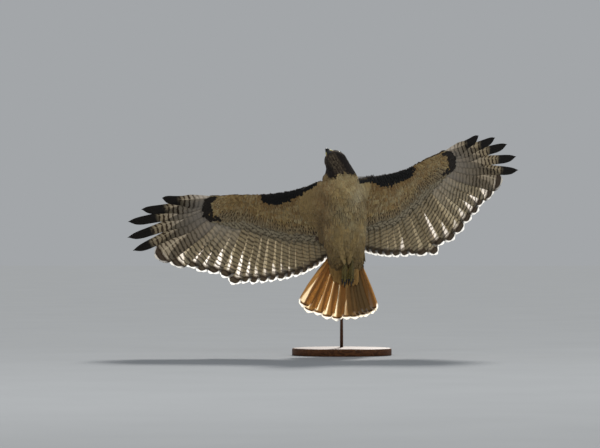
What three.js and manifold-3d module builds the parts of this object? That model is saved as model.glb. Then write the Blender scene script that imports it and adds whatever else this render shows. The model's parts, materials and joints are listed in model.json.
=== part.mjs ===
// Red-tailed hawk in soaring flight, life size, on a display stand.
// Millimetres, +Z up. The origin is the centre of the stand's underside.
// The belly faces -Y, the head is up and the bird's left wing is on the +X side.

import * as THREE from "three";
import { mergeVertices } from "three/addons/utils/BufferGeometryUtils.js";
import Module from "manifold-3d";

const wasm = await Module();
wasm.setup();

const deg = Math.PI / 180;
const V = (x, y, z) => new THREE.Vector3(x, y, z);

// Driving sizes of the pose
const gap = 0.32;
const poseLevel = 395;
const bodyPitch = 12 * deg;
const bodyRoll = 12.5 * deg;
const bodyCentre = V(4.5, -50, poseLevel + 27);

// Driving sizes of the wing, alike on both sides
const humerus = 108;
const ulna = 122;
const handLength = 100;
const primaryReach = [278, 288, 300, 329, 356, 404, 398, 368, 322, 257];
const secondaryCount = 14;
const wingCamber = 13;
const camberChord = 270;

// Pose of each wing in its own plane: u runs outwards and v towards the head
const wings = [
  {
    name: "right",
    side: -1,
    shoulder: V(-60, -57, poseLevel + 84),
    slope: [8 * deg, 14 * deg],
    wrist: [225, -15],
    lead: [[8, 40], [225, -3]],
    primaryFan: [-1.9 * deg, -62.6 * deg],
    trailing: { outer: [306, -264], inner: [-3, -200], bulge: 34 },
    stretch: 0.035,
  },
  {
    name: "left",
    side: 1,
    shoulder: V(60, -33, poseLevel + 102),
    slope: [32 * deg, 40 * deg],
    wrist: [202.6, 46.3],
    lead: [[8, 38], [205, 57]],
    primaryFan: [17.5 * deg, -40.8 * deg],
    trailing: { outer: [388, -170], inner: [7, -187], bulge: 50 },
    stretch: -0.035,
  },
];
const slopeSpan = 600;

// Driving sizes of the tail
const tailCount = 12;
const tailLength = 213;
const tailFan = [-41 * deg, 31 * deg];
const tailCrowding = 1.45;
const tailPivot = [4, -6, -107];
const covertFan = [-24 * deg, 20 * deg];
const tailTiers = [
  { name: "under", count: 5, from: 46, to: 116, lift: [-11, -13] },
  { name: "upper", count: 5, from: 46, to: 100, lift: [5, 4] },
];

// Axes of the body: across to the bird's left, out of the belly, and towards the head
const headward = V(0, -Math.sin(bodyPitch), Math.cos(bodyPitch));
const levelBelly = V(0, -Math.cos(bodyPitch), -Math.sin(bodyPitch));
const bellyward = levelBelly.clone().multiplyScalar(Math.cos(bodyRoll)).add(V(Math.sin(bodyRoll), 0, 0));
const leftward = V(Math.cos(bodyRoll), 0, 0).sub(levelBelly.clone().multiplyScalar(Math.sin(bodyRoll)));
const bodyFrame = { origin: bodyCentre, across: leftward, belly: bellyward, along: headward };

// A place in a frame, from its distances across, out of the belly side and along
function at(frame, across, belly, along) {
  return frame.origin
    .clone()
    .addScaledVector(frame.across, across)
    .addScaledVector(frame.belly, belly)
    .addScaledVector(frame.along, along);
}

const mix = (a, b, t) => a + (b - a) * t;

// Solids: a closed body from points and triangles, turned so that its faces point out
function solid(points, faces) {
  const positions = new Float32Array(points.flatMap((p) => [p.x, p.y, p.z]));
  let volume = 0;
  const [a, b, c] = [V(), V(), V()];
  for (const [i, j, k] of faces) {
    a.copy(points[i]);
    b.copy(points[j]);
    c.copy(points[k]);
    volume += a.dot(b.cross(c));
  }
  const turned = volume < 0 ? faces.map(([i, j, k]) => [i, k, j]) : faces;
  const mesh = new wasm.Mesh({
    numProp: 3,
    vertProperties: positions,
    triVerts: new Uint32Array(turned.flat()),
  });
  return new wasm.Manifold(mesh);
}

// A closed body from a three.js geometry
function fromGeometry(geometry) {
  const bare = geometry.clone();
  bare.deleteAttribute("normal");
  bare.deleteAttribute("uv");
  const merged = mergeVertices(bare, 1e-4);
  const mesh = new wasm.Mesh({
    numProp: 3,
    vertProperties: new Float32Array(merged.attributes.position.array),
    triVerts: new Uint32Array(merged.index.array),
  });
  return new wasm.Manifold(mesh);
}

// The largest closed surface of a body, without sealed hollows or loose scraps
function largest(body) {
  const pieces = body.decompose();
  return pieces.reduce((best, piece) => (piece.volume() > best.volume() ? piece : best));
}

const fuse = (bodies) => largest(wasm.Manifold.union(bodies));

// A closed body through rings of points, with a flat end at each side
function throughRings(rings) {
  const count = rings[0].length;
  const points = rings.flat();
  const faces = [];
  for (let i = 0; i + 1 < rings.length; i += 1) {
    for (let j = 0; j < count; j += 1) {
      const next = (j + 1) % count;
      const [a, b] = [i * count + j, i * count + next];
      const [c, d] = [a + count, b + count];
      faces.push([a, b, d], [a, d, c]);
    }
  }
  for (const [ring, first] of [[rings[0], 0], [rings.at(-1), points.length - count]]) {
    const centre = ring.reduce((sum, p) => sum.add(p), V(0, 0, 0)).divideScalar(count);
    const middle = points.push(centre) - 1;
    for (let j = 0; j < count; j += 1) {
      const [a, b] = [first + j, first + ((j + 1) % count)];
      faces.push(first === 0 ? [middle, b, a] : [middle, a, b]);
    }
  }
  return solid(points, faces);
}

// A smooth row between the rows of a table, by position from 0 to 1
function rowAt(rows, position) {
  const place = position * (rows.length - 1);
  const i = Math.min(Math.floor(place), rows.length - 2);
  const t = place - i;
  const row = (k) => rows[THREE.MathUtils.clamp(k, 0, rows.length - 1)];
  return row(i).map((value, c) => {
    const [p0, p1, p2, p3] = [row(i - 1)[c], value, row(i + 1)[c], row(i + 2)[c]];
    const cubic = (3 * (p1 - p2) + p3 - p0) * t;
    return p1 + 0.5 * t * (p2 - p0 + t * (2 * p0 - 5 * p1 + 4 * p2 - p3 + cubic));
  });
}

// A ring in a frame: half width, depth on the belly side and on the back
function ring(frame, [along, half, belly, back, across, lift], grow, count) {
  const points = [];
  for (let j = 0; j < count; j += 1) {
    const angle = (j / count) * 2 * Math.PI;
    const [c, s] = [Math.cos(angle), Math.sin(angle)];
    const depth = (s > 0 ? belly : back) + grow;
    points.push(at(frame, across + (half + grow) * c, lift + depth * s, along));
  }
  return points;
}

// A round-sectioned body along a frame, from a table of rings
function bodyOf(frame, rows, { rings = 12, count = 24, grow = 0 } = {}) {
  const list = [];
  for (let i = 0; i < rings; i += 1) {
    list.push(ring(frame, rowAt(rows, i / (rings - 1)), grow, count));
  }
  return throughRings(list);
}

// Torso: along, half width, belly depth, back depth, shift across and shift to the belly
const torsoRows = [
  [-118, 50, 33, 31, 2, 0],
  [-90, 59, 44, 38, 2, 0],
  [-55, 65, 53, 45, 1, 0],
  [-10, 67, 60, 50, 0, 0],
  [35, 67, 61, 50, -1, 0],
  [72, 62, 56, 47, -3, 0],
  [98, 54, 48, 43, -7, 0],
  [114, 47, 42, 40, -10, 0],
];
const roomGrow = gap + 0.25;
const torso = bodyOf(bodyFrame, torsoRows, { rings: 12, count: 24 });
const torsoRoom = bodyOf(
  bodyFrame,
  [[-118 - gap, ...torsoRows[0].slice(1)], ...torsoRows.slice(1, -1), [114 + gap, ...torsoRows.at(-1).slice(1)]],
  { rings: 12, count: 24, grow: roomGrow },
);

// Head: it turns to the bird's right and its bill tips a little towards the belly
const headTurn = 37 * deg;
const headNod = 14 * deg;
const headAlong = V(-Math.sin(headTurn) * Math.cos(headNod), -Math.sin(headNod), Math.cos(headTurn) * Math.cos(headNod));
const headAcross = V(Math.cos(headTurn), 0, Math.sin(headTurn));
const headBelly = headAlong.clone().cross(headAcross).negate();
if (headBelly.y > 0) headBelly.negate();
const headFrame = {
  origin: V(-19.5, -86, poseLevel + 187),
  across: headAcross,
  belly: headBelly,
  along: headAlong,
};
const headBack = -26;
const headFront = 33;
const headRows = [
  [headBack, 34, 31, 31, 0, 0],
  [-12, 34.5, 31, 34, 0, 0],
  [2, 32, 28, 33, 0, 0],
  [15, 27.5, 24, 28, 0, 0],
  [25, 20.5, 18.5, 20.5, 0, 0],
  [headFront, 12.5, 13, 12.5, 0, 0],
];
const headCore = bodyOf(headFrame, headRows, { rings: 10, count: 22 });

// A body moved into a frame: its x runs across, its y along and its z out of the belly
function placed(geometry, frame, [across, belly, along]) {
  const matrix = new THREE.Matrix4().makeBasis(frame.across, frame.along, frame.belly);
  geometry.applyMatrix4(matrix.setPosition(at(frame, across, belly, along)));
  return fromGeometry(geometry);
}

// Brow ridges that shade the eyes
const browRows = (side) => [
  [-7, 2, 2, 2, side * 25, -16],
  [3, 4.4, 3, 3.4, side * 27, -17],
  [13, 4.8, 3.2, 3.4, side * 25.6, -16.4],
  [22, 4, 3, 3, side * 20.5, -13.4],
  [29, 2.2, 2, 2, side * 15, -10],
];

// Lids: a ring round each eye, turned forwards with the side of the head
const lidRadius = 6.5;
const lidTube = 1.5;
const lidTurn = 22 * deg;
function lidRing(side) {
  const geometry = new THREE.TorusGeometry(lidRadius, lidTube, 5, 11);
  geometry.rotateY(90 * deg);
  geometry.rotateZ(side * lidTurn);
  return placed(geometry, headFrame, [side * 27.6, -7.5, 12.3]);
}

// Mouth: a shallow groove back from the bill to below each eye
const mouthDepth = 1.4;
const mouthSlab = placed(new THREE.BoxGeometry(90, 22, 1), headFrame, [0, 6.6, 26]);
const mouth = mouthSlab.subtract(bodyOf(headFrame, headRows, { rings: 10, count: 22, grow: -mouthDepth }));

// Neck: rings turn from the torso's end face to the head's
const neckCount = 24;
const neckStart = ring(bodyFrame, [114 + gap, 47, 42, 40, -10, 0], 0, neckCount);
const neckEnd = ring(headFrame, [headBack - gap, 34, 31, 31, 0, 0], 0, neckCount);
const neckRings = [0, 0.25, 0.5, 0.75, 1].map((t) =>
  neckStart.map((p, j) => p.clone().lerp(neckEnd[j], t)),
);
const neck = throughRings(neckRings);

// Wing plane: a gentle bend outwards about the direction of the chord
const chordward = headward;
const wingUp = levelBelly.clone().negate();
function wingPoint(wing, u, v, h) {
  const [inner, outer] = wing.slope;
  const turn = (outer - inner) / slopeSpan;
  const angle = inner + turn * u;
  const out = (Math.sin(angle) - Math.sin(inner)) / turn;
  const up = (Math.cos(inner) - Math.cos(angle)) / turn;
  return wing.shoulder
    .clone()
    .addScaledVector(V(wing.side, 0, 0), out - h * Math.sin(angle))
    .addScaledVector(wingUp, up + h * Math.cos(angle))
    .addScaledVector(chordward, v);
}

// Elbow of a wing, from its two bones and the wrist
function elbowOf([u, v]) {
  const span = Math.hypot(u, v);
  const foot = (humerus ** 2 - ulna ** 2 + span ** 2) / (2 * span);
  const drop = Math.sqrt(Math.max(humerus ** 2 - foot ** 2, 0));
  return [(u * foot + v * drop) / span, (v * foot - u * drop) / span];
}

const between = (a, b, t) => [mix(a[0], b[0], t), mix(a[1], b[1], t)];
const step = (a, angle, length) => [a[0] + length * Math.cos(angle), a[1] + length * Math.sin(angle)];

// Tip of an arm feather, on the bulging hind edge from the wrist's side to the body's
function trailingTip({ trailing }, x) {
  const [outer, inner] = [trailing.outer, trailing.inner];
  const crowded = 1 - (1 - x) ** 1.35;
  const y = x ** 0.75;
  return [mix(outer[0], inner[0], crowded), mix(outer[1], inner[1], x) - trailing.bulge * 4 * y * (1 - y)];
}

// Flight feathers of a wing, from the innermost to the tip, each with its base and tip
function flightLayout(wing) {
  const elbow = elbowOf(wing.wrist);
  const handAngle = wing.primaryFan[0] + 1.5 * deg;
  const feathers = [];
  for (let k = secondaryCount - 1; k >= 0; k -= 1) {
    const x = k / (secondaryCount - 1);
    const along = 6 + x * (ulna + humerus - 20);
    const base = along < ulna
      ? between(wing.wrist, elbow, along / ulna)
      : between(elbow, [0, 0], (along - ulna) / humerus);
    feathers.push({ base, tip: trailingTip(wing, x), part: "arm", order: x });
  }
  primaryReach.forEach((reach, k) => {
    const x = (primaryReach.length - 1 - k) / (primaryReach.length - 1);
    const base = step(wing.wrist, handAngle, 8 + (handLength - 12) * (1 - x));
    const angle = mix(...wing.primaryFan, x ** 1.08);
    const tip = step(wing.wrist, angle, reach * (1 + wing.stretch * (1 - 2 * x)));
    feathers.push({ base, tip, part: "hand", order: 1 - x });
  });
  return feathers;
}

// Distance of a place on the wing from the line of its bones
function boneDistance(wing, [u, v]) {
  const handAngle = wing.primaryFan[0];
  const line = [[-60, 0], elbowOf(wing.wrist), wing.wrist, step(wing.wrist, handAngle, 400)];
  let best = Infinity;
  for (let i = 0; i < 3; i += 1) {
    const [a, b] = [line[i], line[i + 1]];
    const [du, dv] = [b[0] - a[0], b[1] - a[1]];
    const t = THREE.MathUtils.clamp(((u - a[0]) * du + (v - a[1]) * dv) / (du * du + dv * dv), 0, 1);
    best = Math.min(best, Math.hypot(u - a[0] - t * du, v - a[1] - t * dv));
  }
  return best;
}

function surfacePoint(wing, place, lift) {
  const q = boneDistance(wing, place) / camberChord;
  return wingPoint(wing, place[0], place[1], wingCamber * 4 * q * (1 - q) + lift);
}

// A thin closed leaf between two grids of points, split alike on both faces
function leaf(upper, lower) {
  const count = upper[0].length;
  const points = [...upper.flat(), ...lower.flat()];
  const under = upper.length * count;
  const faces = [];
  for (let i = 0; i + 1 < upper.length; i += 1) {
    for (let j = 0; j + 1 < count; j += 1) {
      const a = i * count + j;
      faces.push([a, a + 1, a + count + 1], [a, a + count + 1, a + count]);
      faces.push([a + under, a + under + count + 1, a + under + 1]);
      faces.push([a + under, a + under + count, a + under + count + 1]);
    }
  }
  const rim = [];
  for (let j = 0; j < count; j += 1) rim.push(j);
  for (let i = 1; i < upper.length; i += 1) rim.push(i * count + count - 1);
  for (let j = count - 2; j >= 0; j -= 1) rim.push((upper.length - 1) * count + j);
  for (let i = upper.length - 2; i > 0; i -= 1) rim.push(i * count);
  rim.forEach((a, k) => {
    const b = rim[(k + 1) % rim.length];
    faces.push([a, a + under, b + under], [a, b + under, b]);
  });
  return solid(points, faces);
}

// Outlines of a feather: place along it, share of its width, and how far the tip stands out
const broadOutline = [[0, 0.12], [0.42, 0.9], [0.87, 1], [0.955, 0.64, 0.045]];
const fingerOutline = [[0, 0.12], [0.48, 1], [0.62, 0.66], [0.87, 0.56], [0.965, 0.3, 0.035]];
const tailOutline = [[0, 0.14], [0.6, 1], [0.95, 0.82, 0.05]];
const covertOutline = [[0, 0.3], [0.62, 1], [1, 0.55]];

// One feather's vane over a surface, from its base to its tip. Its leading edge is lifted
// by the tilt, so that neighbours overlap like shingles, and its shaft is a low ridge.
function vane(surface, { base, tip, width, outline, lift, tilt, lead = 0.4, thick = 0.6, bow = 0, shaft = true }) {
  const [du, dv] = [tip[0] - base[0], tip[1] - base[1]];
  const length = Math.hypot(du, dv);
  const [eu, ev] = [-dv / length, du / length];
  const columns = shaft ? [lead, 0, lead - 1] : [lead, lead - 1];
  const grid = (sign) => outline.map(([t, share, point = 0]) => columns.map((column) => {
    const s = column === 0 ? t + point : t;
    const across = column * width * share;
    const offset = across + bow * 4 * s * (1 - s);
    const half = (column === 0 ? 1.5 * thick : thick) * mix(0.5, 0.35, s);
    const place = [base[0] + du * s + eu * offset, base[1] + dv * s + ev * offset];
    return surface(place, mix(lift[0], lift[1], s) + across * Math.tan(tilt) + sign * half);
  }));
  return leaf(grid(1), grid(-1));
}

// Flesh and lesser coverts of the arm, a wing section from the shoulder to the wrist
const leadSag = 10;
function armFlesh(wing) {
  const elbow = elbowOf(wing.wrist);
  const rings = [];
  const stations = 8;
  for (let i = 0; i < stations; i += 1) {
    const x = i / (stations - 1);
    const u = mix(-30, wing.wrist[0] + 16, x);
    const [[u0, v0], [u1, v1]] = wing.lead;
    const t = (u - u0) / (u1 - u0);
    const front = mix(v0, v1, t) - leadSag * 4 * Math.max(t * (1 - t), 0);
    const bone = u < elbow[0]
      ? mix(0, elbow[1], u / elbow[0])
      : mix(elbow[1], wing.wrist[1], (u - elbow[0]) / (wing.wrist[0] - elbow[0]));
    const back = bone - mix(34, 14, x);
    const thick = mix(15, 7, x);
    rings.push(wingSection(wing, (c) => [u, mix(front, back, c)], thick));
  }
  return throughRings(rings);
}

// Section of a wing's flesh: round in front and thin behind
const sectionShape = [
  [0, 0], [0.07, 0.6], [0.3, 1], [0.7, 0.85], [1, 0.5],
  [1, -0.5], [0.7, -0.75], [0.3, -0.85], [0.07, -0.5],
];
function wingSection(wing, place, thick) {
  return sectionShape.map(([c, h]) => {
    const [u, v] = place(c);
    return surfacePoint(wing, [u, v], h * thick);
  });
}

function handFlesh(wing) {
  const angle = wing.primaryFan[0] + 1.5 * deg;
  const stations = [-22, 0, 30, 60, handLength, handLength + 22];
  const rings = stations.map((along) => {
    const x = THREE.MathUtils.clamp(along / handLength, 0, 1.22);
    const centre = step(wing.wrist, angle, along);
    const front = mix(13, 5, x);
    const back = mix(16, 7, x);
    const thick = mix(7.5, 2.2, x);
    return wingSection(wing, (c) => step(centre, angle + 90 * deg, mix(front, -back, c)), thick);
  });
  return throughRings(rings);
}

// Plane between the arm and the hand, from the wrist to between two feather tips
function wristPlane(wing, layout) {
  const inner = layout[secondaryCount - 1].tip;
  const outer = layout[secondaryCount].tip;
  const a = wingPoint(wing, ...wing.wrist, 0);
  const b = wingPoint(wing, ...between(inner, outer, 0.5), 0);
  const up = wingPoint(wing, ...wing.wrist, 50);
  const normal = b.clone().sub(a).cross(up.sub(a)).normalize();
  const outward = wingPoint(wing, wing.wrist[0] + 60, wing.wrist[1], 0).sub(a);
  if (normal.dot(outward) < 0) normal.negate();
  return { normal, offset: normal.dot(a) };
}

function trim(body, { normal, offset }, side) {
  const n = normal.clone().multiplyScalar(side);
  return body.trimByPlane([n.x, n.y, n.z], side * offset + gap / 2);
}

// Tiers of feathers over a wing: flight feathers, then coverts below and above them
const shingleTilt = 5.5 * deg;
const covertTilt = 4 * deg;
const tiers = [
  { every: 1, onHand: true, reach: [0.3, 0.58], start: 0, lift: [-3, -4.2] },
  { every: 2, onHand: false, reach: [0.17, 0.36], start: -0.05, lift: [-5.6, -7.4] },
  { every: 2, onHand: true, reach: [0.36, 0.6], start: 0, lift: [3, 3.9] },
  { every: 2, onHand: false, reach: [0.2, 0.38], start: -0.05, lift: [5.6, 7.3] },
];
const covertOverlap = 1.2;

const distance = (a, b) => Math.hypot(a[0] - b[0], a[1] - b[1]);

function wingFeathers(wing, layout, part) {
  const surface = (place, lift) => surfacePoint(wing, place, lift);
  const bodies = [];
  layout.forEach((feather, k) => {
    if (feather.part !== part) return;
    const { base, tip } = feather;
    const next = layout[Math.min(k + 1, layout.length - 1)];
    const previous = layout[Math.max(k - 1, 0)];
    const spacing = 0.5 * (distance(tip, next.tip) + distance(previous.tip, tip));
    const finger = k - secondaryCount >= 5;
    const width = finger ? 44 : THREE.MathUtils.clamp(1.35 * spacing, 34, 56);
    bodies.push(vane(surface, {
      base,
      tip,
      width,
      outline: finger ? fingerOutline : broadOutline,
      lift: [0, 0],
      tilt: shingleTilt,
      lead: finger ? 0.32 : 0.4,
      bow: finger ? -5 : 0,
    }));
    for (const tier of tiers) {
      if (k % tier.every !== 0 || (part === "hand" && !tier.onHand)) continue;
      const inwards = part === "arm" ? feather.order : 0;
      const reach = mix(...tier.reach, inwards);
      const start = between(base, tip, tier.start);
      const end = between(base, tip, reach);
      const pitch = (distance(end, between(next.base, next.tip, reach)) || 14) * tier.every;
      bodies.push(vane(surface, {
        base: start,
        tip: end,
        width: THREE.MathUtils.clamp(covertOverlap * pitch, 15, 40),
        outline: covertOutline,
        lift: tier.lift,
        tilt: covertTilt,
        thick: 0.75,
        shaft: false,
      }));
    }
  });
  return bodies;
}

// Alula: three short feathers on the thumb, over the front of the hand
function alulaFeathers(wing) {
  const angle = wing.primaryFan[0] + 1.5 * deg;
  const surface = (place, lift) => surfacePoint(wing, place, lift);
  return [0, 1, 2].map((k) => vane(surface, {
    base: step(step(wing.wrist, angle, 4 + 7 * k), angle + 90 * deg, 5 - k),
    tip: step(step(wing.wrist, angle, 92 - 16 * k), angle + 90 * deg, 9 - 9 * k),
    width: 17,
    outline: covertOutline,
    lift: [3, 6 + 1.4 * (2 - k)],
    tilt: 2 * deg,
    thick: 0.75,
    shaft: false,
  }));
}

function wingParts(wing) {
  const layout = flightLayout(wing);
  const plane = wristPlane(wing, layout);
  const arm = fuse([armFlesh(wing), ...wingFeathers(wing, layout, "arm")]);
  const hand = fuse([handFlesh(wing), ...wingFeathers(wing, layout, "hand"), ...alulaFeathers(wing)]);
  return {
    arm: largest(trim(arm, plane, -1).subtract(torsoRoom).subtract(rumpRoom)),
    hand: largest(trim(hand, plane, 1)),
  };
}

// Rump: the body's hind end, and the tail's own root behind it
const rumpEnd = -146;
const rumpRows = [
  [-118 - gap, 50, 33, 31, 2, 0],
  [-132, 46, 26, 26, 2, -1],
  [rumpEnd, 40, 19, 20, 3, -3],
];
const rump = bodyOf(bodyFrame, rumpRows, { rings: 4, count: 24 });
const rumpRoom = bodyOf(bodyFrame, rumpRows, { rings: 4, count: 24, grow: roomGrow });
const tailRootRows = [
  [rumpEnd - gap, 40, 19, 20, 3, -3],
  [-160, 34, 11, 13, 4, -5],
  [-176, 28, 5, 7, 4, -6],
];
const tailRoot = bodyOf(bodyFrame, tailRootRows, { rings: 4, count: 16 });

// Tail: feathers fanned from one pivot, the middle pair on top and each outer one below
const tailPlace = ([x, y], lift) => at(bodyFrame, tailPivot[0] + x, tailPivot[1] - lift, tailPivot[2] + y);

function tailAngle(k, count) {
  const x = k / (count - 1);
  return mix(...tailFan, 1 - (1 - x) ** tailCrowding);
}

const fanned = (angle, reach) => [reach * Math.sin(angle), -reach * Math.cos(angle)];

function tailFeathers() {
  const bodies = [];
  const middle = (tailCount - 1) / 2;
  for (let k = 0; k < tailCount; k += 1) {
    const angle = tailAngle(k, tailCount);
    const fromMiddle = Math.abs(k - middle) - 0.5;
    const side = k < middle ? 1 : -1;
    bodies.push(vane(tailPlace, {
      base: fanned(angle, 46),
      tip: fanned(angle, tailLength - (fromMiddle === 5 ? 4 : 0)),
      width: 38,
      outline: tailOutline,
      lift: [-1.3 * fromMiddle, -1.6 * fromMiddle],
      tilt: side * 1.5 * deg,
      lead: 0.5,
    }));
  }
  for (const tier of tailTiers) {
    for (let k = 0; k < tier.count; k += 1) {
      const angle = mix(...covertFan, k / (tier.count - 1));
      bodies.push(vane(tailPlace, {
        base: fanned(angle, tier.from),
        tip: fanned(angle, tier.to - 12 * Math.abs(angle)),
        width: 26,
        outline: covertOutline,
        lift: tier.lift,
        tilt: 0,
        thick: 0.75,
        shaft: false,
      }));
    }
  }
  return bodies;
}
const tailStart = at(bodyFrame, 0, 0, rumpEnd - gap).dot(headward);
const tail = largest(
  fuse([tailRoot, ...tailFeathers()]).trimByPlane([-headward.x, -headward.y, -headward.z], -tailStart),
);

// Bill: a hooked upper half and a short lower half, from the face at the head's front
const upperBillRows = [
  [headFront + gap, 10, 3, 10.5, 0, 0],
  [38, 8.6, 4, 9.8, 0, 0.5],
  [43, 7, 6, 8.2, 0, 1.5],
  [48, 5, 8, 5.5, 0, 4],
  [52, 3, 6.5, 1.8, 0, 8.5],
  [53.6, 1.1, 2.4, -2.2, 0, 15.2],
];
const lowerBillRows = [
  [headFront + gap, 9.2, 4.6, 3.4, 0, 7.4],
  [38, 7.4, 3.6, 2.4, 0, 8],
  [42.5, 5, 2.4, 1.4, 0, 9],
  [45.5, 2.6, 0.8, 0.4, 0, 10],
];
const upperBill = bodyOf(headFrame, upperBillRows, { rings: 8, count: 12 });
const lowerRoom = bodyOf(headFrame, lowerBillRows, { rings: 5, count: 12, grow: gap });
const lowerBill = bodyOf(headFrame, lowerBillRows, { rings: 5, count: 12 });

// Eyes: balls set in sockets under the brow
const eyeRadius = 8.4;
const eyePlace = [22.5, -7.5, 10.5];
const ball = (place, radius, wide = 12, high = 7) =>
  placed(new THREE.SphereGeometry(radius, wide, high), headFrame, place);
const eyeAt = (side) => [side * eyePlace[0], eyePlace[1], eyePlace[2]];
const sides = [-1, 1];

const head = largest(
  fuse([headCore, ...sides.flatMap((side) => [
    bodyOf(headFrame, browRows(side), { rings: 5, count: 7 }),
    lidRing(side),
  ])])
    .subtract(mouth)
    .subtract(ball(eyeAt(-1), eyeRadius + gap))
    .subtract(ball(eyeAt(1), eyeRadius + gap)),
);

// Nostrils in the cere
const nostrilRadius = 1.5;
const nostrils = sides.map((side) => ball([side * 8.4, -3, 37.5], nostrilRadius, 6, 4));
const beak = largest(nostrils.reduce((body, hole) => body.subtract(hole), upperBill.subtract(lowerRoom)));

// Legs: feathered thighs along the belly, bare shanks and closed toes under the tail
const legs = [
  { name: "right", side: -1 },
  { name: "left", side: 1 },
];
const thighRows = (side) => [
  [-26, 8, 9, 10, side * 29, 50],
  [-45, 14, 13, 16, side * 27, 46],
  [-75, 14, 14, 16, side * 22, 40],
  [-104, 10, 10, 12, side * 15, 36],
  [-122, 6, 6, 6, side * 11, 38],
];
const feetShift = 8;
const footAcross = (side) => feetShift + side * 10;
const shankRows = (side) => [
  [-122.6, 5, 5, 4.5, side * 11 + 3, 38.5],
  [-136, 4.6, 4.6, 4, footAcross(side), 36],
  [-148, 5.4, 5, 4.5, footAcross(side), 33],
  [-156, 7, 6, 5, footAcross(side), 31],
];

// Toes of one foot: start across, start out, end across, end out, length and thickness
const toes = [
  { name: "inner", from: [-4, 0], to: [-6.5, 2], length: 36, thick: 4.2, claw: 24 },
  { name: "middle", from: [0, 2], to: [0, 5], length: 44, thick: 4.2, claw: 21 },
  { name: "outer", from: [4, 0], to: [6.5, 1], length: 37, thick: 3.8, claw: 17 },
  { name: "back", from: [0, -4], to: [1, -5], length: 30, thick: 4.4, claw: 26 },
];
const toeStart = -150;
const toeDrop = 9;

function toeBody(side, toe) {
  const rows = [0, 0.25, 0.5, 0.75, 1].map((t, i) => {
    const thick = toe.thick * (i % 2 === 0 ? 1.06 : 0.88) * mix(1, 0.8, t);
    const across = footAcross(side) + mix(toe.from[0], toe.to[0], t);
    const out = 31 + mix(toe.from[1], toe.to[1], t) - toeDrop * t;
    return [toeStart - toe.length * t, thick, thick, thick, across, out];
  });
  return bodyOf(bodyFrame, rows, { rings: 5, count: 7 });
}

function clawBody(side, toe) {
  const across = footAcross(side) + toe.to[0];
  const out = 31 + toe.to[1] - toeDrop;
  const start = toeStart - toe.length - gap;
  const rows = [0, 0.3, 0.6, 0.85, 1].map((t) => {
    const thick = toe.thick * 0.72 * (1 - t) ** 0.8 + 0.35;
    return [start - toe.claw * Math.sin(t * 1.25) * 0.85, thick * 0.8, thick, thick, across, out - toe.claw * 0.32 * t * t];
  });
  return bodyOf(bodyFrame, rows, { rings: 5, count: 6 });
}

const parts = [];
function add(name, body, colour, roughness, metalness = 0) {
  parts.push({ name, body, colour, roughness, metalness });
}

add("torso", torso, 0xa08a66, 0.9);
add("neck", neck, 0x6d5640, 0.9);
add("head", head, 0x4a392b, 0.9);
add("bill_upper", beak, 0x2c2b2b, 0.4);
add("bill_lower", lowerBill, 0x35322f, 0.4);
add("eye_right", ball(eyeAt(-1), eyeRadius), 0x3a1f10, 0.1);
add("eye_left", ball(eyeAt(1), eyeRadius), 0x3a1f10, 0.1);
add("rump", rump, 0xb39a70, 0.9);
add("tail", tail, 0xb5622f, 0.8);
for (const wing of wings) {
  const { arm, hand } = wingParts(wing);
  add(`wing_${wing.name}_arm`, arm, 0xb09a78, 0.85);
  add(`wing_${wing.name}_hand`, hand, 0xa8977c, 0.85);
}
for (const leg of legs) {
  const thigh = bodyOf(bodyFrame, thighRows(leg.side), { rings: 9, count: 14 });
  const shank = bodyOf(bodyFrame, shankRows(leg.side), { rings: 5, count: 8 });
  const foot = fuse([shank, ...toes.map((toe) => toeBody(leg.side, toe))]);
  add(`leg_${leg.name}`, largest(thigh.subtract(torsoRoom).subtract(rumpRoom)), 0xb39a70, 0.9);
  add(`foot_${leg.name}`, foot, 0xb9a23c, 0.6);
  for (const toe of toes) add(`claw_${leg.name}_${toe.name}`, clawBody(leg.side, toe), 0x1d1b1b, 0.3);
}

// Stand: a round wooden base and one bent steel rod, up behind the tail to the back
const baseRadius = 150;
const baseHeight = 22;
const baseBevel = 4;
const baseSegments = 48;
const rodRadius = 5;
const rodBehind = 74;
const rodBend = 60;
const rodReach = 40;
const rodSides = 12;
const bendSteps = 6;
const backHeight = poseLevel + 25;

const baseProfile = [
  [0, 0],
  [baseRadius, 0],
  [baseRadius, baseHeight - baseBevel],
  [baseRadius - baseBevel, baseHeight],
  [0, baseHeight],
].map(([r, z]) => new THREE.Vector2(r, z));
const standBase = new THREE.LatheGeometry(baseProfile, baseSegments);
standBase.rotateX(90 * deg);
add("stand_base", fromGeometry(standBase), 0x6b4a30, 0.5);

// Section of the rod at a place, with the way up of the rod turned by an angle
function rodRing(y, z, turn) {
  const points = [];
  for (let j = 0; j < rodSides; j += 1) {
    const angle = (j / rodSides) * 2 * Math.PI;
    const across = rodRadius * Math.cos(angle);
    const depth = rodRadius * Math.sin(angle);
    points.push(V(across, y + depth * Math.cos(turn), z + depth * Math.sin(turn)));
  }
  return points;
}

const rodRings = [rodRing(rodBehind, baseHeight + gap, 0)];
for (let i = 0; i <= bendSteps; i += 1) {
  const turn = (i / bendSteps) * 90 * deg;
  const y = rodBehind - rodBend * (1 - Math.cos(turn));
  rodRings.push(rodRing(y, backHeight - rodBend * (1 - Math.sin(turn)), turn));
}
rodRings.push(rodRing(rodBehind - rodBend - rodReach, backHeight, 90 * deg));
const rod = throughRings(rodRings);
add("stand_rod", largest(rod.subtract(torsoRoom)), 0x9a9da0, 0.3, 1);

const hawk = new THREE.Group();
for (const { name, body, colour, roughness, metalness } of parts) {
  const { vertProperties, triVerts } = body.getMesh();
  const geometry = new THREE.BufferGeometry();
  geometry.setAttribute("position", new THREE.BufferAttribute(new Float32Array(vertProperties), 3));
  geometry.setIndex(new THREE.BufferAttribute(new Uint32Array(triVerts), 1));
  geometry.computeVertexNormals();
  const material = new THREE.MeshStandardMaterial({ color: colour, roughness, metalness });
  const mesh = new THREE.Mesh(geometry, material);
  mesh.name = name;
  hawk.add(mesh);
}

export default hawk;
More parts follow.
